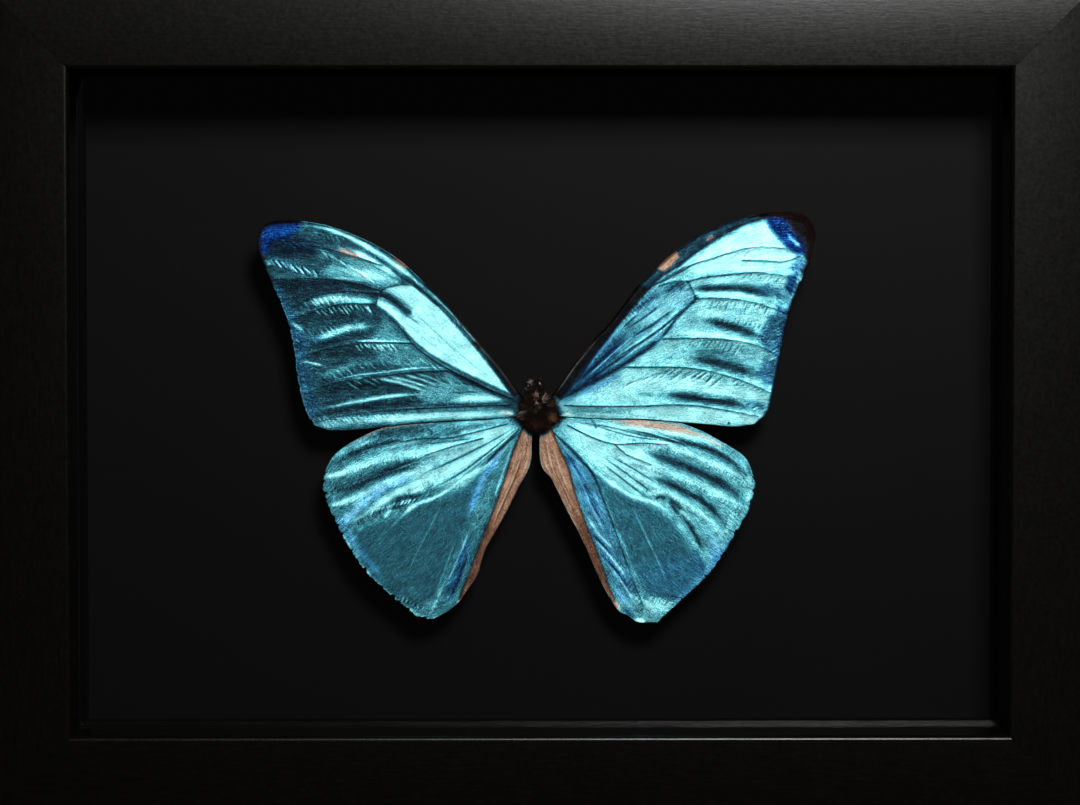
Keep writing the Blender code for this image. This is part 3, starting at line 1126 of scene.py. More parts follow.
def forewing_left() -> Wing:
    """Describe the left forewing: slate and teal, painted darker overall than the right one as shade, with a
    bright cell, painted highlights on its folds and combs of creases.

    Returns:
        The wing, in millimetres from the middle of the opening.
    """
    edge = ((-2.4, -0.2), (-3.5, 1.2), (-6.0, 4.5), (-8.5, 7.8), (-11.3, 11.0), (-14.4, 14.6), (-17.5, 18.4),
            (-21.7, 22.3), (-25.6, 25.9), (-29.4, 28.5), (-33.3, 30.5), (-37.0, 32.0), (-40.7, 33.1),
            (-44.7, 33.7), (-48.4, 33.9), (-51.2, 33.2))
    subcosta = ((-4.8, 1.0), (-6.7, 3.7), (-10.1, 8.7), (-14.0, 13.5), (-17.9, 17.5), (-20.8, 19.8),
                (-23.7, 21.9), (-26.3, 23.6), (-29.4, 25.9), (-33.2, 28.6), (-37.8, 31.3), (-41.6, 32.6))
    cubitus = ((-5.3, 0.5), (-9.7, 2.4), (-12.3, 3.7), (-17.0, 6.0), (-20.7, 8.3), (-23.7, 10.7),
               (-25.4, 13.0), (-27.7, 15.4), (-29.4, 16.9), (-30.8, 17.8))
    veins = (
        cubitus,
        ((-30.8, 17.8), (-30.4, 19.2), (-29.8, 20.8), (-26.5, 21.8), (-24.6, 21.8)),
        ((-29.8, 20.8), (-34.7, 22.2), (-40.8, 23.0), (-48.5, 22.9)),
        ((-30.2, 20.3), (-37.0, 20.6), (-42.8, 19.6), (-46.6, 17.4)),
        ((-30.9, 18.2), (-37.0, 18.2), (-42.8, 16.8), (-47.0, 15.1)),
        ((-24.0, 10.9), (-29.4, 11.0), (-34.8, 10.9), (-40.9, 9.6), (-45.1, 7.9)),
        ((-17.2, 5.8), (-23.7, 5.5), (-30.0, 4.7), (-38.6, 3.4), (-44.0, 1.4)),
        ((-5.7, -0.7), (-12.2, -0.9), (-20.0, -1.2), (-28.0, -1.7), (-35.5, -2.5), (-42.1, -3.9)),
        ((-29.5, 25.4), (-35.0, 27.2), (-41.0, 28.9), (-46.5, 29.6)),
    )
    rim = ((-50.2, 21.9), (-48.4, 18.2), (-47.0, 14.3), (-45.9, 9.0), (-45.5, 5.1), (-44.8, 1.4),
           (-43.6, -2.4), (-42.2, -4.5))
    # Many strokes below paint the highlight on a fold and the shade beside it; the brown, tan and azure
    # shares are the scales' own colour.
    strokes = (
        Stroke(((-23.5, 23.3), (-19.5, 19.7), (-15.0, 14.8), (-12.0, 11.2)), 0.45, 0.5),
        Stroke(((-31.5, 25.4), (-28.5, 24.0), (-25.8, 22.3)), 0.18, 0.2),
        Stroke(((-38.5, 31.7), (-34.5, 30.1), (-30.5, 27.9)), 0.6, 0.5),
        Stroke(subcosta, 0.34, 0.06, blunt=0.02),
        Stroke(((-26.5, 24.7), (-22.5, 21.6), (-18.5, 18.0), (-14.8, 14.0)), 0.2, 0.2),
        Stroke(((-44.0, 33.0), (-41.3, 32.6), (-39.0, 32.0), (-37.0, 31.3), (-35.3, 30.5), (-33.5, 29.6),
                (-31.0, 28.1), (-28.0, 26.2), (-25.5, 24.4), (-23.5, 22.8), (-22.0, 21.4)), 0.5, 0.97,
               tilt=0.1),
        Stroke(((-36.0, 28.7), (-32.5, 27.0), (-29.0, 24.8), (-26.2, 22.8)), 0.6, 0.95, tilt=0.15),
        Stroke(((-37.5, 24.6), (-31.5, 23.6), (-26.8, 22.3)), 1.0, 0.96, tilt=0.1, blunt=0.5),
        Stroke(((-38.6, 23.1), (-35.0, 22.9), (-32.0, 22.4)), 0.22, 0.7),
        Stroke(((-37.9, 28.5), (-35.6, 27.7), (-33.4, 26.9)), 0.5, 0.62, tan=0.75),
        Stroke(((-27.4, 27.0), (-26.0, 26.0), (-24.4, 24.9)), 0.55, 0.5, tan=0.9),
        Stroke(((-51.4, 26.3), (-48.0, 25.5), (-44.0, 24.4), (-41.0, 23.9)), 0.7, 0.34, azure=0.2),
        Stroke(((-41.8, 28.6), (-38.5, 26.8), (-35.0, 25.0)), 1.0, 0.4),
        Stroke(((-46.2, 31.6), (-42.0, 30.6), (-38.0, 29.9)), 0.5, 0.17),
        Stroke(((-30.6, 20.3), (-29.0, 19.8), (-26.8, 18.4), (-24.0, 16.0)), 0.9, 0.06, tilt=-0.15,
               blunt=0.1),
        Stroke(((-27.0, 17.6), (-24.5, 15.8), (-22.3, 14.3)), 0.16, 0.4),
        Stroke(((-43.0, 18.4), (-39.0, 19.2), (-36.0, 19.1), (-33.0, 18.8), (-31.0, 18.7)), 0.8, 0.8,
               tilt=0.15, blunt=0.12),
        Stroke(((-41.0, 16.9), (-36.0, 17.0), (-31.5, 16.7)), 0.6, 0.26),
        Stroke(((-45.4, 15.6), (-40.0, 15.9), (-33.4, 15.7)), 0.7, 0.1),
        Stroke(((-45.8, 9.6), (-43.0, 11.2), (-40.0, 12.3)), 0.9, 0.32, azure=0.2),
        Stroke(((-42.2, 11.6), (-39.7, 12.4), (-37.5, 13.2), (-34.5, 13.9), (-31.3, 14.1)), 0.65, 0.82,
               tilt=0.2),
        Stroke(((-43.5, 9.7), (-39.5, 11.0), (-35.5, 12.1), (-31.6, 12.5)), 0.5, 0.1, tilt=-0.15),
        Stroke(((-44.0, 8.3), (-39.0, 8.8), (-34.0, 9.0), (-30.0, 8.9)), 0.7, 0.12),
        Stroke(((-43.8, 3.9), (-39.4, 5.3), (-36.5, 6.4), (-32.6, 7.4), (-28.7, 8.0), (-24.0, 8.4)), 0.75,
               0.42, tilt=0.12),
        Stroke(((-43.5, 2.5), (-38.0, 4.0), (-33.0, 4.9)), 0.4, 0.16),
        Stroke(((-43.5, 0.3), (-38.5, 2.0), (-33.0, 3.0), (-27.5, 2.9), (-23.5, 2.2)), 0.85, 0.12, tilt=-0.1),
        Stroke(((-43.0, -2.9), (-38.0, -2.0), (-32.0, -1.0), (-26.0, -0.3), (-21.0, 0.0)), 0.6, 0.08,
               tilt=-0.15),
        Stroke(((-40.8, -1.4), (-37.0, -0.6), (-33.0, 0.1), (-29.0, 0.8), (-26.0, 1.1), (-21.8, 1.3)), 0.34,
               0.82, tilt=0.2),
        Stroke(((-41.8, -4.4), (-38.0, -4.1), (-34.0, -3.7), (-29.0, -3.2), (-25.0, -2.9), (-20.0, -2.5),
                (-14.0, -2.4), (-5.5, -2.2)), 1.05, 0.68, tilt=0.1, blunt=0.06),
        Stroke(((-34.0, -3.8), (-26.0, -3.2), (-18.0, -2.8), (-7.0, -2.5)), 0.6, 0.95),
        Stroke(((-30.0, -2.5), (-20.0, -2.0), (-8.0, -1.7)), 0.12, 0.4),
        Stroke(((-7.8, -2.2), (-6.2, -2.2), (-4.6, -2.5)), 0.4, 0.94, tan=0.35),
        Stroke(((-18.0, 2.9), (-13.0, 2.5), (-8.0, 1.0)), 0.7, 0.58),
        Stroke(((-16.5, 0.2), (-11.0, 0.5), (-6.4, 0.3)), 0.6, 0.95),
        Stroke(((-17.5, 1.5), (-11.5, 1.7)), 0.2, 0.3),
        Stroke(((-22.0, -0.9), (-14.0, -0.7), (-6.0, -0.6)), 0.25, 0.08, blunt=0.1),
        Stroke(((-49.6, 21.0), (-47.7, 17.8), (-46.0, 13.8), (-44.9, 9.0), (-44.3, 5.1), (-43.6, 1.4),
                (-42.4, -2.4)), 1.4, 0.32, azure=0.38, blunt=0.02),
        Stroke(((-46.9, 15.0), (-45.6, 14.2), (-44.2, 13.1)), 0.3, 0.88, azure=-0.2),
        Stroke(((-45.2, 7.6), (-43.0, 7.2), (-40.2, 6.6)), 0.22, 0.88, azure=-0.2),
        Stroke(((-51.6, 26.4), (-50.2, 25.6)), 0.45, 0.84, azure=0.15),
        Stroke(((-35.2, 11.3), (-30.0, 11.2), (-24.3, 11.1)), 0.18, 0.86, ridge=0.04),
        Stroke(((-39.0, 3.9), (-34.0, 4.9), (-30.0, 5.3), (-26.3, 5.8), (-22.3, 6.2), (-17.4, 6.2)), 0.18,
               0.74, ridge=0.04),
        Stroke(((-17.8, 6.2), (-13.5, 3.9), (-9.0, 1.7), (-5.6, 0.4)), 0.5, 0.06, blunt=0.1),
        Stroke(((-24.5, 17.6), (-19.0, 12.4), (-13.5, 7.6), (-9.5, 4.0)), 0.16, 0.72),
        Stroke(((-27.0, 16.6), (-21.5, 11.6), (-15.5, 7.2)), 0.14, 0.76),
        Stroke(((-31.0, 4.4), (-26.0, 3.4), (-21.4, 1.8)), 0.3, 0.92),
        Stroke(((-28.6, 4.7), (-24.0, 3.6), (-20.4, 2.4)), 0.24, 0.88),
        Stroke(((-25.6, 5.0), (-22.0, 4.0), (-19.2, 2.8)), 0.2, 0.85),
        Stroke(((-23.2, 5.2), (-20.6, 4.4), (-18.6, 3.4)), 0.18, 0.76),
        Stroke(((-7.9, 6.0), (-11.6, 10.6), (-15.4, 15.2), (-19.0, 18.9), (-22.4, 22.0)), 0.16, 0.86),
        Stroke(edge[:8], 0.3, 0.12, brown=0.6, ridge=0.15, blunt=0.02),
        Stroke(((-3.6, 0.7), (-8.4, 7.2), (-13.9, 13.6), (-17.1, 17.3)), 0.16, 0.34, brown=-0.8, tan=0.35),
        Stroke(edge[13:], 0.5, 0.1, brown=0.85, ridge=0.1, blunt=0.02),
        Stroke(edge[7:14], 0.25, 0.4, brown=0.1, ridge=0.1, blunt=0.02),
        Stroke(((-46.0, 34.4), (-51.2, 33.8), (-52.9, 31.1), (-53.1, 28.9), (-52.2, 25.9), (-50.6, 21.9)),
               0.9, 0.1, brown=1.3, blunt=0.02),
        Stroke(rim, 0.35, 0.5, brown=0.1, blunt=0.02),
        Stroke(((-3.0, 1.2), (-3.3, -0.8), (-3.6, -2.9)), 1.0, 0.04, brown=0.9, blunt=0.02),
    )
    patches = (
        Patch(((-52.6, 31.5), (-51.0, 34.0), (-44.8, 34.0), (-44.6, 32.2), (-47.0, 30.7), (-50.0, 30.0),
               (-51.0, 27.4), (-52.6, 27.6)), 0.6, 0.37, azure=1.0),
        Patch(((-50.4, 30.4), (-46.0, 31.2), (-42.2, 29.8), (-42.0, 27.3), (-48.0, 26.9), (-51.0, 27.4)),
              0.8, 0.07, azure=0.35),
        Patch(((-41.0, 24.0), (-38.0, 26.8), (-33.0, 27.3), (-29.5, 25.0), (-26.2, 22.4), (-29.0, 21.4),
               (-33.0, 22.4), (-38.0, 23.1)), 0.7, 0.58),
        Patch(((-49.8, 22.9), (-44.0, 22.7), (-39.0, 22.6), (-35.3, 22.3), (-31.5, 21.3), (-29.5, 20.8),
               (-30.8, 20.4), (-34.0, 20.5), (-37.3, 20.4), (-40.7, 19.9), (-43.0, 19.1), (-45.2, 17.9),
               (-48.2, 17.5)), 0.45, 0.05),
        Patch(((-30.2, 20.4), (-28.5, 21.2), (-26.0, 21.8), (-23.8, 21.6), (-21.2, 19.4), (-18.6, 17.2),
               (-15.6, 13.9), (-12.3, 10.1), (-9.0, 6.0), (-5.6, 1.5), (-9.7, 3.3), (-12.3, 4.6),
               (-17.0, 6.9), (-20.7, 9.1), (-23.7, 11.5), (-25.4, 13.7), (-27.7, 16.0), (-29.4, 17.4),
               (-30.6, 18.2)), 0.3, 0.93, calm=0.15),
        Patch(((-29.3, 16.1), (-27.0, 14.0), (-25.2, 12.3), (-24.0, 10.6), (-20.5, 7.8), (-17.4, 6.2),
               (-22.0, 6.4), (-26.0, 6.6), (-30.0, 8.2), (-31.0, 10.5), (-32.4, 11.4), (-30.7, 12.8)), 0.9,
              0.52),
        Patch(((-23.0, 1.6), (-17.5, 5.2), (-12.5, 3.2), (-7.0, 0.4), (-14.0, -0.4), (-22.0, -0.2)), 1.0,
              0.54),
        Patch(((-3.5, 1.4), (-8.5, 8.0), (-11.3, 11.2), (-12.8, 11.0), (-10.4, 8.5), (-7.2, 3.8),
               (-5.0, 0.8)), 0.4, 0.2, brown=0.85),
        Patch(((-10.5, 10.4), (-14.4, 14.8), (-17.6, 18.6), (-21.7, 22.5), (-22.4, 21.6), (-18.4, 18.2),
               (-14.8, 13.8), (-11.6, 9.8)), 0.4, 0.44, brown=0.3),
    )
    teeth = (
        Teeth(((-50.8, 26.8), (-46.5, 25.8), (-42.0, 24.6)), (2.0, -2.2), 0.95, 0.75),
        Teeth(((-50.1, 30.5), (-44.7, 29.6)), (2.4, -1.6), 1.1, 0.3),
        Teeth(((-41.6, 28.8), (-37.5, 26.4), (-32.9, 23.9)), (2.2, -2.0), 0.8, 0.45),
        Teeth(((-44.7, 18.7), (-40.5, 19.7), (-36.3, 20.0)), (1.9, -2.3), 0.95, 0.4),
        Teeth(((-42.5, 17.3), (-37.0, 18.0), (-31.9, 17.9)), (1.6, -1.9), 0.8, 0.75),
        Teeth(((-44.1, 13.4), (-38.1, 14.3)), (1.8, -1.8), 0.95, 0.25),
        Teeth(((-34.9, 10.8), (-27.6, 10.7)), (1.5, -1.6), 0.72, 0.9),
        Teeth(((-37.0, 3.6), (-31.0, 4.5)), (2.6, -1.5), 1.5, 0.5, 0.16),
        Teeth(((-42.2, 5.0), (-33.4, 7.0), (-25.0, 7.6)), (2.2, -1.7), 1.1, 0.2),
        Teeth(((-41.9, -3.2), (-33.4, -2.8), (-26.2, -2.3)), (1.5, -1.3), 0.8, 0.35),
        Teeth(((-26.0, 8.6), (-19.0, 6.9)), (2.6, -2.0), 1.4, 0.14),
        Teeth(((-44.0, 32.4), (-38.0, 30.9)), (1.2, -1.8), 0.9, 0.2),
        Teeth(((-21.0, 4.2), (-13.0, 3.2)), (2.2, -1.2), 1.3, -0.16),
        Teeth(((-46.5, 16.4), (-44.6, 3.0)), (1.4, -0.7), 0.9, 0.28),
        Teeth(((-24.0, 23.4), (-12.0, 11.4)), (1.0, -1.5), 0.7, 0.25),
    )
    return Wing(
        "forewing_left", base=((-2.4, -0.2), (-2.6, -1.4), (-3.2, -2.7)), lead=edge,
        outer=((-51.2, 33.2), (-52.4, 31.1), (-52.7, 28.9), (-51.8, 25.9), (-49.9, 21.6), (-48.4, 18.2),
               (-47.0, 14.3), (-45.9, 9.0), (-45.5, 5.1), (-44.8, 1.4), (-43.6, -2.4), (-42.2, -4.6)),
        trail=((-3.2, -2.7), (-4.7, -2.9), (-10.7, -3.4), (-21.7, -4.0), (-27.5, -4.6), (-33.4, -5.3),
               (-39.0, -5.5), (-42.2, -4.6)),
        above_board=9.6, lift=1.5, lean=-1.5, base_tone_and_shading=0.22, veins=veins, strokes=strokes, patches=patches,
        teeth=teeth, seed=3,
    )


def forewing_right() -> Wing:
    """Describe the right forewing: painted bright all over where it faces the lamp, with a darker, bluer cell
    and painted shade in its hollows.

    Returns:
        The wing, in millimetres from the middle of the opening.
    """
    edge = ((1.5, -0.1), (2.4, 1.2), (5.3, 5.3), (6.7, 7.3), (8.8, 9.6), (10.6, 12.1), (12.5, 14.0),
            (14.7, 16.8), (18.4, 21.7), (22.4, 25.5), (25.4, 28.1), (29.1, 30.7), (33.0, 32.6), (37.5, 34.3),
            (42.2, 35.2), (45.9, 35.4), (49.1, 35.0), (51.0, 33.3))
    cell = ((4.0, 0.5), (7.6, 4.6), (13.2, 12.4), (17.4, 17.0), (20.8, 21.0), (23.1, 22.3), (27.7, 22.3),
            (29.4, 19.2), (26.0, 15.3), (23.4, 12.0), (20.5, 9.7), (16.0, 6.5), (11.6, 3.5), (4.7, -0.6))
    subcosta = ((4.0, 0.4), (7.5, 4.7), (10.0, 8.3), (13.0, 12.2), (15.3, 15.2), (18.7, 19.1), (22.0, 22.8),
                (25.3, 25.0), (28.7, 27.7), (32.0, 30.0), (35.3, 31.9), (38.7, 33.4), (42.0, 34.4))
    veins = (
        ((21.5, 21.9), (25.3, 23.7), (28.7, 25.6), (32.0, 26.6), (35.3, 27.7), (38.7, 28.6), (42.0, 28.9),
         (46.5, 28.5)),
        ((38.0, 26.4), (42.0, 26.3), (45.5, 26.1), (48.7, 27.1)),
        ((27.7, 22.5), (31.0, 23.2), (35.3, 23.7), (40.0, 24.1), (43.6, 23.8), (47.4, 23.1)),
        ((27.7, 22.5), (28.6, 20.8), (29.4, 19.2)),
        ((22.4, 21.6), (25.0, 22.4), (27.7, 22.5)),
        ((29.4, 19.2), (33.0, 19.3), (37.0, 19.0), (41.2, 18.2), (45.8, 16.6)),
        ((23.2, 11.7), (28.0, 11.8), (33.0, 11.7), (38.0, 11.1), (41.5, 10.1), (44.8, 8.5)),
        ((16.0, 6.4), (23.0, 6.4), (28.0, 6.2), (33.0, 5.3), (38.0, 3.8), (43.0, 1.7)),
        ((4.7, -0.8), (11.6, -1.0), (19.3, -0.9), (26.9, -0.7), (33.6, -1.5), (41.0, -2.9)),
    )
    # Many strokes below paint the highlight on a fold and the shade beside it; the brown, tan and azure
    # shares are the scales' own colour.
    strokes = (
        Stroke(((28.8, 20.5), (32.0, 20.3), (36.6, 20.0), (40.0, 19.4), (42.4, 18.4)), 0.5, 0.97, tilt=0.1),
        Stroke(((37.6, 20.9), (41.0, 20.6), (43.6, 19.9)), 0.8, 0.24, azure=0.15),
        Stroke(((28.0, 20.9), (31.5, 21.1), (36.0, 21.2), (39.4, 20.9), (41.4, 20.3), (43.4, 19.4)), 0.65,
               0.05, tilt=-0.15),
        Stroke(((22.8, 23.3), (25.8, 24.7), (28.7, 26.7), (31.0, 28.6)), 0.28, 0.84),
        Stroke(((22.0, 22.2), (25.0, 23.8), (28.0, 25.4)), 0.28, 0.2),
        Stroke(((44.2, 17.4), (46.6, 16.5)), 0.7, 0.3, azure=0.4),
        Stroke(((41.0, 21.6), (44.4, 20.2), (46.6, 18.4)), 1.0, 0.4, azure=0.25),
        Stroke(((30.4, 15.1), (33.4, 14.6), (36.8, 13.7), (39.6, 12.7), (41.6, 12.0)), 0.75, 0.04,
               tilt=-0.15),
        Stroke(((28.4, 8.2), (32.0, 7.4), (35.0, 6.8), (38.0, 5.8), (40.6, 4.7)), 1.05, 0.08, tilt=-0.1),
        Stroke(((28.4, 9.4), (32.5, 9.2), (36.6, 8.4)), 0.8, 0.4),
        Stroke(((38.6, 6.6), (41.6, 4.8), (43.2, 3.2)), 0.6, 0.5, azure=0.15),
        Stroke(((28.0, 2.0), (33.0, 1.7), (38.6, 0.6)), 0.3, 0.97),
        Stroke(((22.8, 1.1), (26.0, 0.9), (28.7, 0.6), (32.0, 0.2), (35.3, -0.3), (39.4, -1.2)), 0.8, 0.05,
               tilt=-0.15),
        Stroke(((29.6, 0.8), (32.0, 0.7), (34.6, 0.4)), 0.12, 0.7),
        Stroke(((18.0, 1.4), (22.0, 1.1), (26.0, 0.4)), 0.5, 0.6),
        Stroke(((38.0, -0.6), (41.0, -0.9), (42.4, -1.9)), 0.7, 0.4, azure=0.2),
        Stroke(((29.6, 17.6), (35.0, 17.5), (42.0, 16.2)), 0.6, 0.76),
        Stroke(((24.6, 13.0), (29.0, 12.8), (34.0, 12.3), (40.0, 10.9)), 0.4, 0.92, tilt=0.1),
        Stroke(((18.0, 7.4), (22.0, 9.0), (26.0, 9.8)), 0.9, 0.84),
        Stroke(((5.8, 2.4), (8.7, 6.2), (12.0, 10.2), (15.2, 14.0)), 0.28, 0.76, azure=0.5, ridge=0.03),
        Stroke(((8.2, 3.8), (13.8, 9.0), (18.2, 12.8)), 0.18, 0.76, azure=0.2),
        Stroke(((14.4, 12.6), (17.2, 15.8), (19.2, 17.8)), 0.2, 0.74),
        Stroke(((15.4, 13.6), (17.6, 15.6), (18.8, 16.4)), 0.16, 0.2),
        Stroke(((14.4, 8.4), (20.0, 12.2), (23.2, 14.6), (27.0, 18.0)), 0.26, 0.86),
        Stroke(((13.2, 6.8), (19.0, 10.4), (22.6, 13.0), (26.6, 16.8)), 0.16, 0.8),
        Stroke(((18.0, 14.0), (22.0, 16.6), (25.3, 19.2), (28.2, 20.7)), 0.6, 0.8),
        Stroke(((20.6, 20.3), (22.0, 21.3), (23.8, 21.8)), 0.55, 0.74),
        Stroke(((23.0, 20.2), (25.2, 21.4), (27.6, 22.2)), 0.7, 0.28),
        Stroke(((17.0, 16.6), (19.6, 18.4), (22.6, 20.2)), 0.5, 0.32, azure=0.15),
        Stroke(((13.8, 7.8), (19.6, 11.4), (24.0, 14.6), (28.8, 19.0)), 0.2, 0.08),
        Stroke(((17.0, 12.0), (21.0, 14.2), (25.6, 17.6)), 0.22, 0.2),
        Stroke(((16.0, 13.4), (19.4, 15.6), (22.8, 18.2)), 0.22, 0.26),
        Stroke(((6.6, 3.2), (11.8, 8.0), (16.4, 11.8)), 0.3, 0.12, azure=0.3),
        Stroke(((7.6, 2.8), (13.0, 6.6), (18.0, 10.0)), 0.22, 0.14, azure=0.2),
        Stroke(((4.6, 0.7), (7.5, 2.4), (10.3, 3.8), (14.0, 5.8), (18.5, 8.7), (22.7, 11.7)), 0.5, 0.07,
               azure=0.2, blunt=0.1),
        Stroke(((22.7, 11.7), (24.2, 13.6), (26.0, 15.9), (29.4, 19.2)), 0.24, 0.08, blunt=0.1),
        Stroke(((28.8, 19.7), (29.6, 19.0)), 0.4, 0.08),
        Stroke(((7.4, 0.9), (11.6, 3.0), (15.8, 5.2)), 0.55, 0.7, azure=0.5),
        Stroke(((12.0, 1.0), (18.0, 3.2), (25.0, 4.2)), 0.9, 0.92),
        Stroke(((4.6, -1.7), (10.0, -2.0), (15.6, -2.3)), 0.8, 0.6),
        Stroke(((7.0, -2.3), (16.0, -2.7), (24.0, -3.1)), 0.25, 0.84),
        Stroke(((4.4, -2.4), (5.2, -2.5), (6.2, -2.6)), 0.3, 0.92, tan=0.35),
        Stroke(((31.0, 30.0), (32.8, 31.0)), 0.4, 0.5, tan=0.6),
        Stroke(edge[:9], 0.25, 0.16, brown=0.5, ridge=0.12, blunt=0.02),
        Stroke(((2.7, 0.9), (7.0, 7.0), (11.2, 12.2)), 0.16, 0.36, brown=-0.7, tan=0.4),
        Stroke(edge[8:15], 0.3, 0.1, brown=0.7, ridge=0.1, blunt=0.02),
        Stroke(subcosta, 0.32, 0.05, azure=0.1, blunt=0.02),
        Stroke(((41.0, 35.5), (46.0, 35.8), (50.2, 34.9), (51.7, 31.1), (51.2, 26.9), (49.6, 23.6)), 0.9,
               0.12, brown=1.4, blunt=0.02),
        Stroke(((48.8, 22.3), (46.9, 17.4), (45.8, 12.7), (44.9, 7.9), (44.1, 3.9), (43.4, 0.2), (42.5, -2.5),
                (40.5, -4.4)), 0.35, 0.12, azure=0.4, brown=0.5, blunt=0.02),
        Stroke(((46.2, 31.4), (47.4, 30.0), (48.8, 28.8)), 0.35, 0.82, azure=0.5, brown=-0.8),
        Stroke(((48.2, 26.4), (49.2, 24.8)), 0.35, 0.74, azure=0.4),
        Stroke(((35.4, -4.4), (35.5, -3.9)), 0.2, 0.1),
        Stroke(((2.0, 1.2), (2.5, -0.8), (3.4, -2.9)), 1.0, 0.04, brown=0.9, blunt=0.02),
    )
    patches = (
        Patch(((30.0, 27.4), (34.6, 30.3), (38.6, 32.4), (42.6, 33.6), (43.2, 31.8), (45.4, 29.8),
               (47.6, 27.2), (46.8, 24.6), (38.0, 24.4), (31.0, 24.0), (27.6, 24.0)), 0.6, 0.97, calm=0.4),
        Patch(((28.0, 21.6), (34.0, 23.5), (40.0, 23.9), (46.6, 23.0), (46.6, 21.0), (40.0, 21.8),
               (32.0, 22.0)), 0.4, 0.84),
        Patch(((30.0, 19.0), (38.0, 18.7), (45.4, 16.6), (45.0, 15.2), (41.0, 14.6), (36.0, 15.6),
               (29.8, 16.2)), 0.6, 0.86),
        Patch(((27.2, 9.4), (29.6, 11.2), (36.0, 11.0), (40.6, 9.6), (41.2, 7.2), (37.0, 8.4), (30.0, 8.6)),
              0.8, 0.68),
        Patch(((16.5, 5.9), (12.0, 3.2), (7.0, 0.2), (15.0, -0.5), (24.0, -0.2), (23.6, 1.6), (22.0, 5.8)),
              1.2, 0.84),
        Patch(((22.0, 3.2), (26.0, 4.6), (32.0, 4.0), (38.0, 2.6), (42.5, 1.0), (42.2, -0.4), (38.0, 1.0),
               (30.0, 1.9), (24.0, 2.0)), 0.6, 0.92),
        Patch(((17.0, -1.6), (30.0, -1.2), (38.0, -2.5), (42.2, -2.6), (40.4, -4.3), (30.0, -4.2),
               (18.0, -3.4)), 0.4, 0.93),
        Patch(cell, 0.5, 0.55, azure=0.15),
        Patch(((17.5, 14.6), (20.0, 17.4), (22.6, 20.4), (28.0, 21.4), (29.0, 19.4), (25.6, 16.6),
               (20.5, 13.0)), 1.3, 0.7),
        Patch(((4.0, 0.3), (8.5, 5.6), (13.0, 11.0), (16.0, 12.4), (14.5, 8.4), (10.0, 3.3)), 1.2, 0.28,
              azure=0.2),
        Patch(((2.4, 1.4), (6.7, 7.5), (10.6, 12.3), (14.7, 17.0), (18.4, 21.9), (20.4, 21.2), (16.8, 16.8),
               (13.0, 12.2), (10.0, 8.4), (7.4, 4.8), (3.8, 0.2)), 0.3, 0.16, brown=0.9),
        Patch(((18.4, 21.9), (22.4, 25.7), (25.4, 28.3), (29.1, 30.9), (33.0, 32.8), (37.5, 34.5),
               (42.0, 35.2), (37.4, 32.6), (32.0, 29.6), (28.7, 27.2), (25.3, 24.8), (22.0, 22.6),
               (19.2, 20.2)), 0.35, 0.17, azure=0.05),
        Patch(((22.0, 24.8), (24.0, 27.4), (25.5, 28.2), (26.1, 27.0), (24.7, 25.4), (23.2, 24.3)), 0.35,
              0.66, tan=1.0, brown=-1.0),
        Patch(((41.0, 34.5), (45.4, 33.9), (46.4, 32.0), (47.8, 29.8), (48.9, 27.9), (50.6, 26.0),
               (52.0, 31.0), (50.6, 35.4), (46.0, 36.2), (42.0, 35.8)), 0.6, 0.2, brown=0.95),
        Patch(((42.0, 34.7), (42.8, 32.8), (44.6, 30.6), (46.2, 28.8), (48.4, 27.3), (49.9, 27.4),
               (50.2, 28.8), (49.0, 30.6), (47.2, 32.2), (46.0, 34.6)), 0.7, 0.27, azure=1.0, brown=-0.4),
        Patch(((46.8, 24.8), (48.6, 26.6), (49.6, 26.6), (49.1, 23.8), (48.0, 23.8)), 0.5, 0.6, azure=0.5),
        Patch(((46.4, 23.4), (48.2, 24.0), (48.0, 21.6), (47.0, 19.6), (45.8, 21.0)), 0.6, 0.34, azure=0.7),
        Patch(((43.0, 16.0), (47.0, 17.0), (45.6, 11.0), (44.9, 7.6), (42.6, 9.4), (41.0, 11.8)), 0.9, 0.34,
              azure=0.3),
        Patch(((42.2, 8.2), (44.6, 7.6), (43.8, 3.0), (42.4, 2.8), (41.0, 5.4)), 0.7, 0.45, azure=0.35),
    )
    teeth = (
        Teeth(((31.4, 19.0), (39.0, 18.7), (43.8, 17.5)), (-1.3, -2.3), 0.75, -0.24),
        Teeth(((28.4, 11.6), (33.0, 11.5), (38.7, 10.8)), (-1.8, -2.8), 0.75, -0.2),
        Teeth(((31.8, 15.9), (37.2, 15.5), (42.7, 14.3)), (-1.1, -1.6), 0.8, -0.2),
        Teeth(((24.6, 6.2), (28.8, 6.0), (35.1, 4.8)), (-4.0, -2.7), 0.95, -0.42),
        Teeth(((16.6, 3.3), (24.6, 6.0)), (-2.6, -1.9), 0.95, -0.2),
        Teeth(((30.2, 23.5), (38.2, 24.0), (46.2, 23.1)), (-1.2, -1.3), 0.75, -0.18),
        Teeth(((36.7, 4.3), (42.9, 2.0)), (-2.2, -1.5), 0.95, -0.16),
        Teeth(((32.4, 27.4), (42.2, 28.6)), (-1.8, -1.5), 1.1, -0.1),
        Teeth(((20.0, 21.0), (15.0, 15.2)), (1.6, -1.6), 0.9, 0.2),
        Teeth(((45.8, 15.8), (44.4, 8.0)), (-2.4, -1.2), 0.7, 0.3),
        Teeth(((47.0, 33.0), (49.6, 28.0)), (-2.0, 1.4), 0.8, 0.3),
        Teeth(((44.0, 20.6), (43.4, 17.0)), (2.6, -1.6), 0.9, -0.2),
        Teeth(((39.0, 0.0), (42.6, -2.0)), (-1.8, -1.0), 0.7, 0.2),
    )
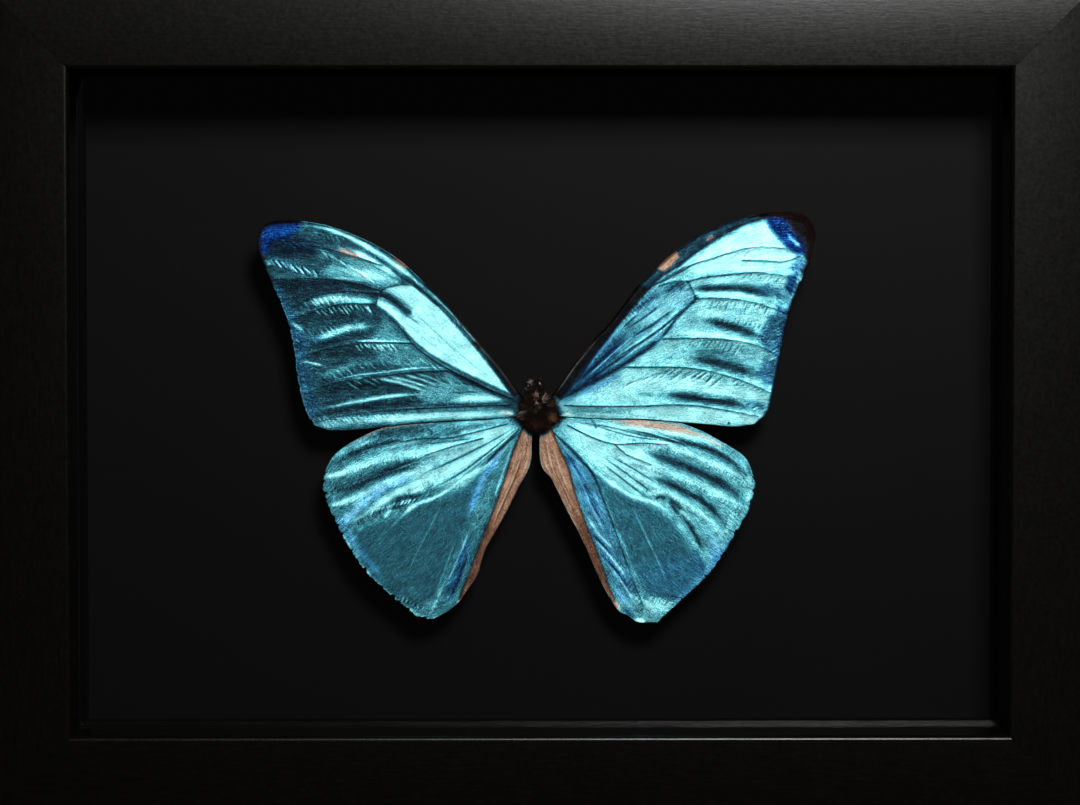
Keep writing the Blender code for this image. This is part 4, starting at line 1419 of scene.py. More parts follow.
    return Wing(
        "forewing_right", base=((1.5, -0.1), (1.9, -1.4), (3.0, -2.7)), lead=edge,
        outer=((51.0, 33.3), (51.5, 31.1), (51.0, 28.5), (50.3, 25.5), (48.8, 22.3), (46.9, 17.4),
               (45.8, 12.7), (44.9, 7.9), (44.1, 3.9), (43.4, 0.2), (42.5, -2.5), (40.4, -4.3)),
        trail=((3.0, -2.7), (4.7, -2.9), (12.0, -3.3), (19.2, -3.4), (26.9, -4.0), (32.7, -4.5),
               (36.5, -4.8), (40.4, -4.3)),
        above_board=9.6, lift=1.5, lean=-1.5, base_tone_and_shading=0.72, veins=veins, strokes=strokes, patches=patches,
        teeth=teeth, seed=5,
    )


def hindwing_left() -> Wing:
    """Describe the left hindwing: painted highlights and shade along the rays above, dull teal with painted
    shade below, and a tan fold along the body.

    Returns:
        The wing, in millimetres from the middle of the opening.
    """
    inner = ((-1.5, -7.0), (-1.6, -10.8), (-2.3, -13.2), (-3.4, -15.2), (-4.2, -16.8), (-6.1, -20.6),
             (-8.1, -24.2), (-9.9, -27.3), (-10.9, -29.9), (-11.6, -32.5), (-13.1, -34.9), (-14.6, -37.0),
             (-16.0, -38.6), (-18.0, -40.0), (-20.1, -41.0))
    fold = ((-3.1, -5.0), (-4.9, -9.5), (-6.3, -13.8), (-8.0, -18.8), (-9.6, -23.0), (-11.3, -27.6),
            (-13.2, -32.6), (-14.6, -36.2), (-15.2, -37.6))
    veins = (
        ((-6.1, -4.3), (-12.0, -5.8), (-17.0, -6.9), (-22.0, -7.0), (-26.0, -7.6)),
        ((-10.8, -7.0), (-16.6, -8.6), (-21.5, -10.2)),
        ((-3.9, -5.4), (-7.4, -8.6), (-10.8, -11.9)),
    )
    # The dark, calm area below the rays; its darkness is painted shade.
    shaded_hollow = ((-34.8, -24.2), (-30.0, -22.9), (-26.0, -21.6), (-22.4, -19.7), (-18.0, -18.2), (-14.0, -16.2),
              (-11.0, -13.6), (-12.6, -20.0), (-14.8, -26.0), (-17.4, -31.6), (-19.6, -36.6), (-23.6, -38.6),
              (-27.7, -36.2), (-33.0, -30.6))
    # Many strokes below paint the highlight on a fold and the shade beside it; the brown, tan and azure
    # shares are the scales' own colour.
    strokes = (
        Stroke(((-38.7, -10.8), (-36.6, -9.0), (-34.3, -8.1), (-31.5, -7.4)), 0.65, 0.62, tilt=0.1),
        Stroke(((-39.0, -12.0), (-35.3, -10.0), (-31.0, -8.4), (-25.0, -7.1)), 0.45, 0.14, tilt=-0.1),
        Stroke(((-30.0, -9.3), (-27.0, -8.4), (-21.3, -7.3)), 0.4, 0.66),
        Stroke(((-40.3, -14.2), (-37.0, -13.4), (-34.3, -12.3), (-31.0, -11.1), (-27.7, -10.1), (-22.0, -9.4),
                (-15.0, -8.0)), 1.0, 0.8, tilt=0.12),
        Stroke(((-40.4, -14.2), (-38.0, -13.8), (-35.8, -13.0)), 0.45, 0.93),
        Stroke(((-39.7, -17.0), (-35.3, -16.2), (-32.0, -14.7), (-28.7, -13.3), (-24.7, -11.9),
                (-20.0, -10.6)), 0.8, 0.1, tilt=-0.12),
        Stroke(((-28.0, -13.2), (-23.3, -11.5), (-19.6, -10.3)), 0.14, 0.55),
        Stroke(((-39.4, -19.5), (-35.3, -18.4), (-32.0, -17.0), (-28.7, -15.3), (-25.3, -14.0),
                (-20.0, -12.4)), 0.65, 0.84, tilt=0.12),
        Stroke(((-39.6, -19.5), (-37.4, -19.2), (-35.0, -18.2)), 0.4, 0.95),
        Stroke(((-37.9, -23.2), (-35.3, -21.4), (-33.3, -19.2), (-30.3, -16.9), (-27.0, -15.2),
                (-24.0, -14.2)), 0.85, 0.86, azure=0.75, blunt=0.12),
        Stroke(((-35.4, -22.9), (-32.0, -20.7), (-28.7, -18.4), (-26.0, -16.7), (-21.0, -14.9),
                (-16.0, -12.6), (-10.0, -8.8)), 0.65, 0.95, tilt=0.1),
        Stroke(((-29.4, -21.9), (-28.6, -21.2), (-27.9, -20.2)), 0.35, 0.92, tilt=0.2),
        Stroke(((-25.2, -20.9), (-24.2, -20.1), (-22.8, -19.2)), 0.4, 0.96, tilt=0.2),
        Stroke(((-26.4, -17.7), (-23.8, -16.9), (-21.0, -15.8)), 0.55, 0.97),
        Stroke(((-4.6, -5.2), (-8.0, -6.2), (-12.0, -7.6)), 1.0, 0.95),
        Stroke(((-27.6, -19.6), (-25.6, -18.2), (-23.4, -18.0), (-21.4, -17.4)), 0.45, 0.16, tilt=-0.25),
        Stroke(((-28.0, -19.9), (-26.4, -19.9), (-25.0, -19.4)), 0.3, 0.2),
        Stroke(((-27.6, -23.3), (-25.3, -21.1), (-23.3, -19.5), (-20.3, -18.4), (-17.3, -16.8),
                (-14.7, -14.8), (-10.6, -12.4), (-7.0, -9.6), (-4.6, -6.6)), 0.28, 0.9, tilt=0.15),
        Stroke(((-20.0, -16.4), (-15.0, -13.6), (-9.6, -9.6), (-5.0, -5.8)), 0.18, 0.22),
        Stroke(((-22.0, -13.8), (-15.0, -10.6), (-8.6, -7.3), (-4.8, -5.0)), 0.18, 0.24),
        Stroke(((-18.0, -14.4), (-12.0, -10.6), (-6.6, -6.9)), 0.2, 0.92),
        Stroke(((-20.0, -11.6), (-12.0, -8.6), (-5.4, -5.2)), 0.25, 0.9),
        Stroke(((-16.0, -15.4), (-11.0, -11.5), (-6.6, -7.8)), 0.14, 0.4),
        Stroke(((-12.0, -7.0), (-17.0, -7.6), (-22.0, -8.2)), 0.16, 0.26),
        Stroke(((-5.6, -4.6), (-10.0, -5.6), (-16.0, -6.4)), 0.6, 0.84),
        Stroke(((-6.0, -3.6), (-12.0, -4.0), (-17.0, -4.6)), 0.5, 0.62),
        Stroke(((-32.0, -6.8), (-28.0, -5.8), (-25.0, -5.6), (-21.0, -5.3)), 0.9, 0.24, brown=0.1, tilt=-0.1),
        Stroke(((-36.0, -8.3), (-32.6, -6.4), (-29.3, -5.1), (-26.0, -4.6), (-21.3, -4.1), (-17.0, -3.8)),
               0.22, 0.42, tan=0.6),
        Stroke(((-22.8, -6.0), (-21.8, -5.4), (-20.4, -5.8), (-20.4, -6.8)), 0.3, 0.2, tilt=0.2),
        Stroke(((-21.8, -6.4), (-21.0, -6.2)), 0.25, 0.8),
        Stroke(((-18.2, -18.9), (-20.8, -24.2), (-23.6, -29.6), (-25.4, -34.0)), 0.16, 0.52, ridge=0.05),
        Stroke(((-15.6, -25.8), (-17.4, -30.4), (-19.2, -35.4), (-20.4, -38.6)), 0.16, 0.52, ridge=0.04),
        Stroke(((-24.6, -20.8), (-29.0, -24.8), (-33.0, -29.4)), 0.14, 0.42, ridge=0.04),
        Stroke(((-6.4, -8.6), (-8.7, -11.8), (-11.0, -15.3), (-12.4, -18.7), (-13.6, -22.6)), 0.7, 0.7,
               azure=0.75),
        Stroke(((-5.2, -7.6), (-7.6, -12.4), (-9.8, -17.4), (-12.2, -23.4)), 0.4, 0.46),
        Stroke(((-4.9, -7.6), (-6.6, -12.6), (-8.6, -18.4)), 0.2, 0.74, azure=0.2),
        Stroke(((-12.8, -25.0), (-15.0, -30.0), (-16.4, -34.2), (-18.2, -38.0)), 0.8, 0.34, azure=0.5),
        Stroke(((-13.4, -28.6), (-15.2, -33.4), (-17.2, -37.6)), 0.3, 0.1, azure=0.5),
        Stroke(((-13.0, -23.6), (-14.8, -28.2), (-17.6, -34.8)), 0.22, 0.66),
        Stroke(((-20.8, -40.6), (-19.2, -37.0), (-17.8, -33.6)), 0.3, 0.68),
        Stroke(((-3.4, -5.6), (-7.4, -9.0), (-10.8, -12.6)), 0.25, 0.08),
        Stroke(((-37.9, -24.2), (-36.0, -27.0), (-33.9, -30.6), (-28.0, -36.7), (-24.0, -39.6),
                (-21.0, -41.1)), 0.32, 0.72, tilt=0.2, blunt=0.05),
        Stroke(((-38.2, -21.4), (-35.8, -25.0), (-32.9, -29.4), (-28.6, -34.6)), 0.75, 0.55, azure=0.42),
        Stroke(fold, 0.22, 0.12, brown=0.5, blunt=0.02),
        Stroke(((-40.4, -13.2), (-40.9, -15.8), (-40.4, -18.4), (-39.1, -21.6), (-37.2, -25.4),
                (-33.3, -31.6), (-27.8, -37.0), (-23.3, -40.7)), 0.18, 0.12, brown=0.6, blunt=0.02),
        Stroke(((-2.4, -6.6), (-3.5, -11.0), (-4.9, -14.6), (-7.4, -20.2), (-9.4, -25.0)), 0.3, 0.74,
               ridge=0.15),
        Stroke(((-2.1, -8.0), (-2.5, -12.0), (-4.1, -15.4)), 0.2, 0.7, ridge=0.1),
        Stroke(((-3.9, -9.0), (-5.4, -13.6), (-7.4, -18.6)), 0.2, 0.66, ridge=0.1),
        Stroke(((-3.0, -9.0), (-4.2, -13.4), (-6.6, -18.8), (-9.2, -25.0)), 0.16, 0.22),
        Stroke(((-8.6, -21.0), (-10.2, -25.4), (-11.8, -29.4), (-12.8, -33.0), (-14.4, -36.6)), 1.0, 0.12),
        Stroke(inner[3:12], 0.25, 0.16, blunt=0.02),
        Stroke(((-14.2, -34.6), (-15.4, -38.2)), 0.25, 0.2, brown=0.6),
        Stroke(((-14.9, -37.4), (-15.5, -38.8)), 0.35, 0.98, tan=0.7, brown=-0.9),
        Stroke(((-18.6, -40.9), (-20.2, -41.2)), 0.4, 0.96, tan=0.4),
        Stroke(((-4.9, -2.6), (-3.5, -4.1), (-2.3, -5.3), (-1.2, -6.1)), 0.8, 0.05, brown=0.9, tan=-1.0,
               blunt=0.02),
    )
    patches = (
        Patch(((-4.0, -4.6), (-14.0, -6.6), (-24.0, -9.8), (-24.0, -16.2), (-14.0, -16.4), (-8.6, -12.2)),
              1.6, 0.78),
        Patch(shaded_hollow, 0.8, 0.33, calm=0.85),
        Patch(fold + inner[:-3][::-1], 0.25, 0.5, tan=1.0),
    )
    teeth = (
        Teeth(((-34.5, -22.7), (-27.0, -18.2), (-18.9, -13.6)), (0.6, -1.2), 0.5, -0.3),
        Teeth(((-39.7, -14.0), (-31.6, -11.6), (-22.1, -9.8)), (0.4, -1.3), 0.5, 0.22),
        Teeth(((-39.0, -16.8), (-30.6, -13.8), (-20.4, -10.8)), (0.4, -1.0), 0.5, 0.22),
        Teeth(((-37.0, -9.6), (-30.6, -7.2), (-22.4, -6.6)), (0.3, -1.0), 0.5, 0.25),
        Teeth(((-31.5, -20.6), (-27.0, -19.0), (-23.0, -18.2)), (-1.2, -1.7), 0.75, 0.6),
        Teeth(((-26.4, -36.0), (-22.4, -38.4)), (-0.8, -1.8), 0.8, 0.3),
    )
    return Wing(
        "hindwing_left", base=((-4.4, -2.9), (-2.5, -4.4), (-1.3, -6.0)),
        lead=((-4.4, -2.9), (-5.8, -2.7), (-12.0, -2.7), (-18.6, -3.2), (-23.3, -3.8), (-28.0, -4.5),
              (-32.6, -6.3), (-36.4, -8.4), (-38.8, -10.4), (-40.2, -12.9)),
        outer=((-40.2, -12.9), (-40.7, -15.8), (-40.2, -18.4), (-38.9, -21.6), (-37.0, -25.4), (-35.1, -28.6),
               (-33.1, -31.6), (-30.8, -33.9), (-27.6, -36.9), (-25.2, -38.6), (-23.3, -40.5), (-22.0, -40.9),
               (-20.1, -41.0)),
        trail=((-1.3, -6.0),) + inner, above_board=9.0, lift=1.5, base_tone_and_shading=0.42, veins=veins,
        strokes=strokes, patches=patches,
        teeth=teeth, seed=8, ragged=0.3, rows=220, columns=300,
    )


def hindwing_right() -> Wing:
    """Describe the right hindwing: painted highlights and shade along the rays above, a slate blue dip below
    painted in shade, and a tan fold.

    Returns:
        The wing, in millimetres from the middle of the opening.
    """
    inner = ((0.0, -7.0), (0.0, -10.4), (0.6, -12.8), (2.0, -14.4), (3.2, -16.6), (4.8, -20.0), (6.7, -23.6),
             (8.7, -27.6), (10.3, -31.4), (11.9, -34.9), (13.4, -37.4), (14.9, -39.6), (16.6, -40.4),
             (18.3, -41.6), (20.6, -41.7))
    fold = ((2.1, -5.2), (3.6, -8.8), (5.3, -12.6), (6.5, -17.0), (7.7, -20.6), (8.8, -23.8), (10.8, -28.7),
            (12.0, -32.2), (13.0, -35.2), (14.2, -37.8))
    veins = (
        ((5.3, -4.6), (9.6, -6.7), (14.1, -8.1), (19.0, -7.9), (24.0, -8.2)),
        ((14.1, -8.1), (15.6, -9.5), (16.6, -10.2), (21.0, -12.0)),
        ((2.8, -6.0), (6.4, -9.8), (9.8, -13.1)),
        ((9.8, -13.1), (12.6, -20.0), (14.8, -26.0), (16.6, -31.1), (19.4, -38.6)),
    )
    # The slate area below the rays; its darkness is painted shade.
    shaded_hollow = ((10.2, -13.6), (13.6, -16.4), (17.2, -18.4), (21.6, -20.2), (24.8, -22.6), (27.6, -26.4),
              (31.0, -31.6), (26.0, -37.4), (20.6, -36.0), (17.6, -31.6), (14.8, -24.6), (12.2, -18.6))
    # Many strokes below paint the highlight on a fold and the shade beside it; the brown, tan and azure
    # shares are the scales' own colour.
    strokes = (
        Stroke(((8.0, -3.9), (16.0, -5.1), (22.3, -5.7), (27.3, -6.5), (32.3, -8.1), (36.0, -10.4)), 0.6,
               0.86, tilt=0.1),
        Stroke(((16.6, -5.4), (19.7, -6.1), (23.0, -7.0), (27.0, -7.8), (30.0, -8.5), (33.4, -9.8),
                (36.0, -11.4), (38.8, -14.0)), 0.52, 0.06, tilt=-0.15),
        Stroke(((12.0, -6.2), (20.7, -7.1), (25.7, -8.9), (30.7, -10.9), (35.7, -13.2), (39.6, -15.4)), 0.55,
               0.88, tilt=0.15),
        Stroke(((19.6, -9.4), (24.0, -11.0), (27.3, -12.3), (32.3, -14.5), (35.7, -16.5), (38.4, -18.8)),
               0.8, 0.07, tilt=-0.15),
        Stroke(((16.0, -10.2), (19.7, -11.2), (24.0, -13.1), (29.0, -15.1), (32.3, -16.8), (35.7, -18.5),
                (38.8, -20.4)), 0.6, 0.8, tilt=0.15),
        Stroke(((20.8, -14.3), (24.0, -15.4), (27.3, -17.1), (30.7, -18.9), (33.0, -21.0), (34.8, -23.2)),
               0.6, 0.08, tilt=-0.15),
        Stroke(((14.0, -11.4), (17.7, -14.1), (22.3, -16.4), (25.7, -18.1), (29.0, -20.4), (32.3, -22.8),
                (35.0, -25.8)), 0.6, 0.78, tilt=0.12),
        Stroke(((36.4, -20.4), (37.4, -21.8), (35.6, -24.8)), 0.9, 0.62),
        Stroke(((23.8, -17.8), (26.2, -20.2), (27.6, -22.4), (29.4, -25.6), (30.8, -28.6)), 0.45, 0.12,
               tilt=-0.2),
        Stroke(((26.0, -20.4), (27.4, -21.4), (28.2, -22.8)), 0.5, 0.9, tilt=0.2),
        Stroke(((24.6, -20.8), (26.2, -22.4), (28.2, -25.4), (31.4, -30.6)), 0.4, 0.6, tilt=0.1),
        Stroke(((21.6, -18.8), (22.6, -18.0), (23.8, -18.6)), 0.3, 0.2, tilt=-0.3),
        Stroke(((20.0, -17.4), (21.6, -17.2), (23.4, -17.1)), 0.45, 0.97),
        Stroke(((24.2, -18.4), (25.2, -20.2), (26.4, -21.6)), 0.3, 0.1),
        Stroke(((17.4, -5.2), (22.0, -6.3), (28.0, -8.2)), 0.14, 0.9),
        Stroke(((39.2, -14.0), (39.6, -16.5), (38.8, -19.2)), 0.5, 0.76),
        Stroke(((12.0, -10.6), (17.0, -14.2), (21.6, -17.6)), 0.16, 0.26),
        Stroke(((11.6, -11.6), (16.2, -15.2), (20.4, -18.4)), 0.16, 0.26),
        Stroke(((12.6, -10.0), (18.0, -13.0), (22.4, -15.8)), 0.16, 0.3),
        Stroke(((11.4, -11.2), (16.6, -14.8), (21.0, -18.0)), 0.2, 0.94),
        Stroke(((9.8, -12.6), (14.0, -15.8), (17.4, -17.9), (21.8, -19.3), (25.0, -21.6)), 0.35, 0.88,
               tilt=0.15),
        Stroke(((5.0, -5.6), (10.0, -8.6), (14.4, -11.0)), 1.2, 0.9),
        Stroke(((5.6, -4.2), (12.0, -5.6), (18.0, -6.3)), 0.5, 0.92),
        Stroke(((6.4, -4.0), (13.0, -4.9), (20.0, -6.6), (26.0, -7.2)), 0.14, 0.3),
        Stroke(((10.0, -4.6), (17.0, -6.6), (24.0, -7.6)), 0.12, 0.34),
        Stroke(((9.6, -3.4), (10.4, -4.6), (10.6, -5.4)), 0.18, 0.24),
        Stroke(((13.6, -3.7), (18.0, -4.1), (22.0, -4.6), (26.0, -5.3), (29.6, -6.4)), 0.75, 0.78, tan=0.95),
        Stroke(((26.0, -5.2), (30.6, -6.7), (35.0, -8.9)), 0.4, 0.92, tan=0.4),
        Stroke(((16.8, -19.0), (19.2, -24.0), (21.6, -29.0), (24.6, -36.0)), 0.16, 0.56, ridge=0.05),
        Stroke(((14.8, -25.0), (17.0, -30.6), (19.8, -37.4)), 0.18, 0.5, ridge=0.04),
        Stroke(((3.0, -6.2), (7.0, -10.2), (9.9, -13.6), (11.6, -17.0)), 0.25, 0.06, azure=0.3),
        Stroke(((3.6, -7.8), (6.4, -12.4), (9.0, -17.6), (12.4, -24.6)), 0.35, 0.3, azure=0.4),
        Stroke(((4.6, -8.0), (7.6, -12.6), (10.6, -18.0), (13.2, -24.6)), 0.35, 0.66, azure=0.4),
        Stroke(((4.4, -9.2), (7.6, -15.0), (10.0, -20.4), (13.0, -25.8)), 0.25, 0.7),
        Stroke(((8.8, -21.6), (11.2, -25.2), (14.0, -28.0)), 0.26, 0.92),
        Stroke(((9.6, -24.6), (12.6, -28.0), (15.0, -31.4)), 0.2, 0.14, azure=0.5),
        Stroke(((10.6, -26.4), (13.6, -29.6), (16.4, -33.4)), 0.26, 0.86),
        Stroke(((11.4, -28.6), (14.4, -32.0), (17.4, -36.6)), 0.2, 0.16, azure=0.5),
        Stroke(((12.4, -30.4), (15.0, -33.4), (18.2, -38.4)), 0.24, 0.84),
        Stroke(((13.4, -34.4), (16.0, -37.6), (18.6, -40.4)), 0.4, 0.74, azure=0.4),
        Stroke(((15.6, -39.0), (18.0, -41.0)), 0.3, 0.3, azure=0.5),
        Stroke(((19.0, -37.6), (22.0, -39.0), (24.8, -38.6)), 1.1, 0.84),
        Stroke(((31.6, -25.6), (33.0, -27.4), (32.4, -30.4)), 0.9, 0.78, azure=0.65),
        Stroke(((28.6, -27.4), (30.4, -30.6), (30.6, -33.2)), 0.5, 0.36, azure=0.3),
        Stroke(((24.6, -38.6), (29.0, -34.4), (33.4, -29.8), (37.0, -24.0)), 0.7, 0.6, azure=0.4),
        Stroke(fold, 0.22, 0.12, brown=0.4, blunt=0.02),
        Stroke(((40.0, -13.2), (40.6, -15.5), (40.0, -18.5), (39.1, -21.1), (36.6, -25.5), (32.3, -32.1),
                (25.9, -38.3), (22.3, -41.6)), 0.18, 0.14, azure=0.3, brown=0.5, blunt=0.02),
        Stroke(((1.2, -7.5), (2.2, -12.0), (4.6, -17.2), (6.6, -22.0)), 0.3, 0.74, ridge=0.15),
        Stroke(((2.3, -8.0), (3.6, -12.4), (5.6, -17.6)), 0.2, 0.7, ridge=0.1),
        Stroke(((0.5, -8.0), (1.0, -12.0), (3.0, -15.6)), 0.2, 0.66, ridge=0.1),
        Stroke(((1.8, -9.5), (2.9, -13.2), (5.2, -18.2), (7.6, -24.0)), 0.16, 0.22),
        Stroke(((6.6, -20.8), (8.6, -25.0), (10.4, -29.8), (12.0, -33.6), (13.8, -37.4)), 1.0, 0.13),
        Stroke(((14.2, -37.6), (15.0, -39.4)), 0.3, 0.96, tan=0.6, brown=-0.8),
        Stroke(((17.8, -41.2), (20.0, -41.6)), 0.35, 0.98, tan=0.2),
        Stroke(((4.5, -2.7), (2.7, -4.2), (1.3, -5.3), (0.1, -6.1)), 0.8, 0.05, brown=0.9, tan=-1.0,
               blunt=0.02),
    )
    patches = (
        Patch(((4.0, -4.6), (14.0, -6.4), (22.0, -8.8), (22.0, -14.2), (18.0, -17.4), (9.8, -12.4)), 1.4,
              0.86),
        Patch(shaded_hollow, 0.8, 0.36, azure=0.05, calm=0.7),
        Patch(((18.0, -31.0), (26.4, -29.0), (31.6, -30.4), (26.6, -37.0), (20.0, -37.2)), 1.6, 0.42,
              azure=0.2),
        Patch(((4.0, -8.4), (9.9, -13.6), (12.8, -20.6), (15.6, -28.0), (18.8, -36.4), (15.2, -38.0),
               (11.6, -29.4), (8.1, -21.0), (5.2, -13.2)), 0.7, 0.5, azure=0.3),
        Patch(fold + inner[:-3][::-1], 0.25, 0.5, tan=1.0, azure=-1.0),
    )
    teeth = (
        Teeth(((17.1, -11.0), (29.1, -15.6), (37.8, -20.2)), (-0.4, -1.1), 0.5, 0.24),
        Teeth(((15.8, -7.0), (29.1, -10.3), (39.5, -15.9)), (-0.4, -1.1), 0.5, 0.24),
        Teeth(((18.4, -14.0), (29.1, -19.8), (35.5, -25.2)), (-0.6, -1.2), 0.5, 0.24),
        Teeth(((20.0, -7.4), (29.0, -9.0), (36.0, -12.6)), (-0.4, 1.0), 0.5, -0.2),
        Teeth(((36.0, -19.6), (34.2, -24.6)), (2.0, -1.6), 0.8, 0.25),
        Teeth(((13.6, -30.0), (18.6, -40.0)), (1.4, 1.6), 0.9, 0.2),
        Teeth(((21.0, -36.6), (25.4, -37.8)), (-0.9, -1.8), 0.7, 0.25),
    )
    return Wing(
        "hindwing_right", base=((3.9, -3.0), (1.7, -4.6), (0.1, -6.0)),
        lead=((3.9, -3.0), (5.0, -2.9), (10.4, -2.9), (16.6, -3.2), (22.8, -3.8), (25.8, -4.0), (30.5, -5.7),
              (35.2, -8.3), (38.4, -10.4), (39.9, -13.2)),
        outer=((39.9, -13.2), (40.5, -15.5), (39.9, -18.5), (39.0, -21.1), (36.5, -25.5), (35.2, -27.9),
               (32.2, -32.1), (29.4, -34.9), (25.8, -38.3), (23.8, -40.2), (22.3, -41.5), (20.6, -41.7)),
        trail=((0.1, -6.0),) + inner, above_board=9.0, lift=1.5, base_tone_and_shading=0.58, veins=veins,
        strokes=strokes, patches=patches,
        teeth=teeth, seed=9, ragged=0.3, rows=220, columns=300,
    )


# ---------------------------------------------------------------- body

@dataclass(frozen=True)
class Tuft:
    """A place on the body where the hairs get a lightness of their own, as a patch of pale, pink or orange
    hair or as a painted glint of light; warm is their share of orange.
    """

    place: Point
    reach: float
    shade: float
    warm: float = 0.0


@dataclass
class Body:
    """The hairy thorax and the head with its two eyes.

    skin_share is the skin's size against the CAD solid that it stands for, the rest being room for hair.
    The shifts and the eyes' half size are in millimetres.
    """

    hairs: int = 5200
    hair_length: float = 1.7 * MM
    hair_width: float = 0.055 * MM
    front_limit: float = 12.3 * MM
    collar_share: float = 0.4
    skin_share: float = 0.78
    thorax_shift: Place = (-0.3, -0.35, 0.35)
    thorax_shape: Point = (0.92, 1.06)
    head_shift: Point = (-0.5, -0.35)
    head_narrowing: float = 0.86
    head_hair: float = 0.55
    eye_shift: Place = (0.95, -0.45, 0.05)
    eye_half: Place = (0.62, 0.8, 1.0)
    eye_turn: float = 35.0
    seed: int = 21
    # The first four pale tufts paint glints of light on the thorax hair, and the last two paint the long
    # glint on the left eye as pale hair; the rest are the hair's own pale, pinkish, orange and dark patches.
    tufts_and_glints: tuple[Tuft, ...] = (
        Tuft((-0.6, 1.3), 0.4, 1.0), Tuft((0.8, 0.7), 0.45, 1.0), Tuft((-0.6, -0.1), 0.4, 1.0),
        Tuft((1.9, -0.4), 0.45, 0.68), Tuft((-0.9, -1.6), 0.45, 0.75), Tuft((-3.7, -2.4), 0.8, 1.15),
        Tuft((-3.2, -0.9), 0.55, 0.6), Tuft((2.2, -2.8), 0.6, 0.75, 0.35), Tuft((3.1, -3.1), 0.65, 0.8, 0.9),
        Tuft((-2.4, -4.6), 0.6, 0.5, 0.3), Tuft((1.6, -4.9), 0.6, 0.45, 0.3),
        Tuft((-0.6, -4.4), 0.8, 0.2, 0.5), Tuft((-2.5, 2.4), 0.4, 1.1), Tuft((-1.7, 3.5), 0.35, 1.1),
    )

    def tint(self, place: np.ndarray, middle: Vector, random: np.random.Generator) -> tuple[float, float]:
        """Pick the shade of one hair.

        Args:
            place: where the hair is.
            middle: middle of the frame's opening.
            random: source of the chances.

        Returns:
            The shade and the share of orange.
        """
        shade = random.uniform(0.03, 0.42) + (0.25 if random.random() < 0.06 else 0.0)
        warm = 0.0
        for tuft in self.tufts_and_glints:
            gap = math.dist((place[0] / MM, (place[2] - middle.z) / MM), tuft.place)
            share = math.exp(-(gap / tuft.reach) ** 2)
            if random.random() < share:
                shade, warm = tuft.shade * random.uniform(0.8, 1.05), tuft.warm
        return shade, warm

    def coat(self, centre: Vector, half: Vector, count: int, length: float, seed: int,
             ) -> tuple[np.ndarray, Faces, np.ndarray, np.ndarray]:
        """Grow curved, tapering hairs out of an egg.

        Each hair is a three-sided spike of three rings and a tip, which makes ten corners.

        Args:
            centre: middle of the egg.
            half: half its size on each axis.
            count: number of hairs.
            length: mean length of a hair.
            seed: number that picks the hairs.

        Returns:
            Corners, faces, and the shade and orange share of each corner.
        """
        random = np.random.default_rng(seed)
        low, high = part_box("mount_board")
        middle = (low + high) / 2
        front = low.y - self.front_limit
        corners, faces, shades, warms = [], [], [], []
        for number in range(count):
            way = random.normal(size=3)
            way /= np.linalg.norm(way)
            if way[1] > 0.55:
                continue
            grow = way * 0.7 + np.array([0.0, -0.12, -0.35]) + random.normal(size=3) * 0.38
            if number < count * self.collar_share:
                way[1] = -random.uniform(0.55, 0.85)
                way[[0, 2]] *= math.sqrt(1 - way[1] ** 2) / np.linalg.norm(way[[0, 2]])
                wander = random.normal(size=3) * np.array([0.35, 0.12, 0.35])
                grow = np.array([way[0] * 1.3, -0.08, way[2]]) + wander
            foot = np.array(centre) + way * np.array(half) * 0.97
            grow /= np.linalg.norm(grow)
            droop = np.array([way[0] * 0.2, 0.0, -0.45])
            size = length * random.uniform(0.5, 1.25)
            across = np.cross(grow, random.normal(size=3))
            across /= np.linalg.norm(across)
            other = np.cross(grow, across)
            shade, warm = self.tint(foot + grow * size * 0.6, middle, random)
            first = len(corners)
            for step, share in enumerate((1.0, 0.75, 0.4)):
                t = step / 3
                place = foot + grow * size * t + droop * size * 0.5 * t * t
                for side in range(3):
                    turn = 2 * math.pi * side / 3
                    spread = across * math.cos(turn) + other * math.sin(turn)
                    corners.append(place + spread * self.hair_width * share)
                    shades.append(shade * (0.7 + 0.4 * t))
            corners.append(foot + grow * size + droop * size * 0.5)
            shades.append(shade * 1.15)
            warms.extend([warm] * 10)
            for ring in range(2):
                for side in range(3):
                    after = (side + 1) % 3
                    low_ring = first + ring * 3
                    high_ring = low_ring + 3
                    faces.append([low_ring + side, low_ring + after, high_ring + after, high_ring + side])
            for side in range(3):
                faces.append([first + 6 + side, first + 6 + (side + 1) % 3, first + 9])
            faces.append([first + 2, first + 1, first])
        places = np.array(corners)
        places[:, 1] = np.maximum(places[:, 1], front)
        return places, faces, np.array(shades), np.array(warms)

    def furry(self, name: str, node: str, shape: tuple[Vector, Vector], count: int, length: float,
              seed: int) -> bpy.types.Object:
        """Build a furry egg in place of a CAD node.

        Args:
            name: the piece's name.
            node: the CAD node it stands for.
            shape: the egg's middle and half its size on each axis.
            count: number of hairs.
            length: mean length of a hair.
            seed: number that picks the hairs.

        Returns:
            The piece.
        """
        skin, faces = egg(shape[0], shape[1])
        hair, hair_faces, shades, warms = self.coat(shape[0], shape[1], count, length, seed)
        shift = len(skin)
        faces += [[number + shift for number in face] for face in hair_faces]
        piece = new_mesh_object(name, np.vstack([skin, hair]), faces, BodyHair().make(f"{name}_hair"))
        store(piece.data, "shade", np.concatenate([np.full(shift, 0.1), shades]))
        store(piece.data, "warm", np.concatenate([np.zeros(shift), warms]))
        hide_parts(node)
        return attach(piece, BODY)

    def eye(self, name: str, centre: Vector, half: Vector, turn: float) -> bpy.types.Object:
        """Build one glossy eye.

        Args:
            name: the piece's name.
            centre: the eye's middle.
            half: half its size on each axis.
            turn: how far it is turned as seen from the front, in degrees.

        Returns:
            The piece.
        """
        corners, faces = egg(Vector((0.0, 0.0, 0.0)), half, rings=24, bumps=0.0)
        turned = Matrix.Rotation(math.radians(turn), 3, "Y")
        corners = np.array([turned @ Vector(corner) + centre for corner in corners])
        piece = new_mesh_object(name, corners, faces, EyeGloss().make())
        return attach(piece, BODY)

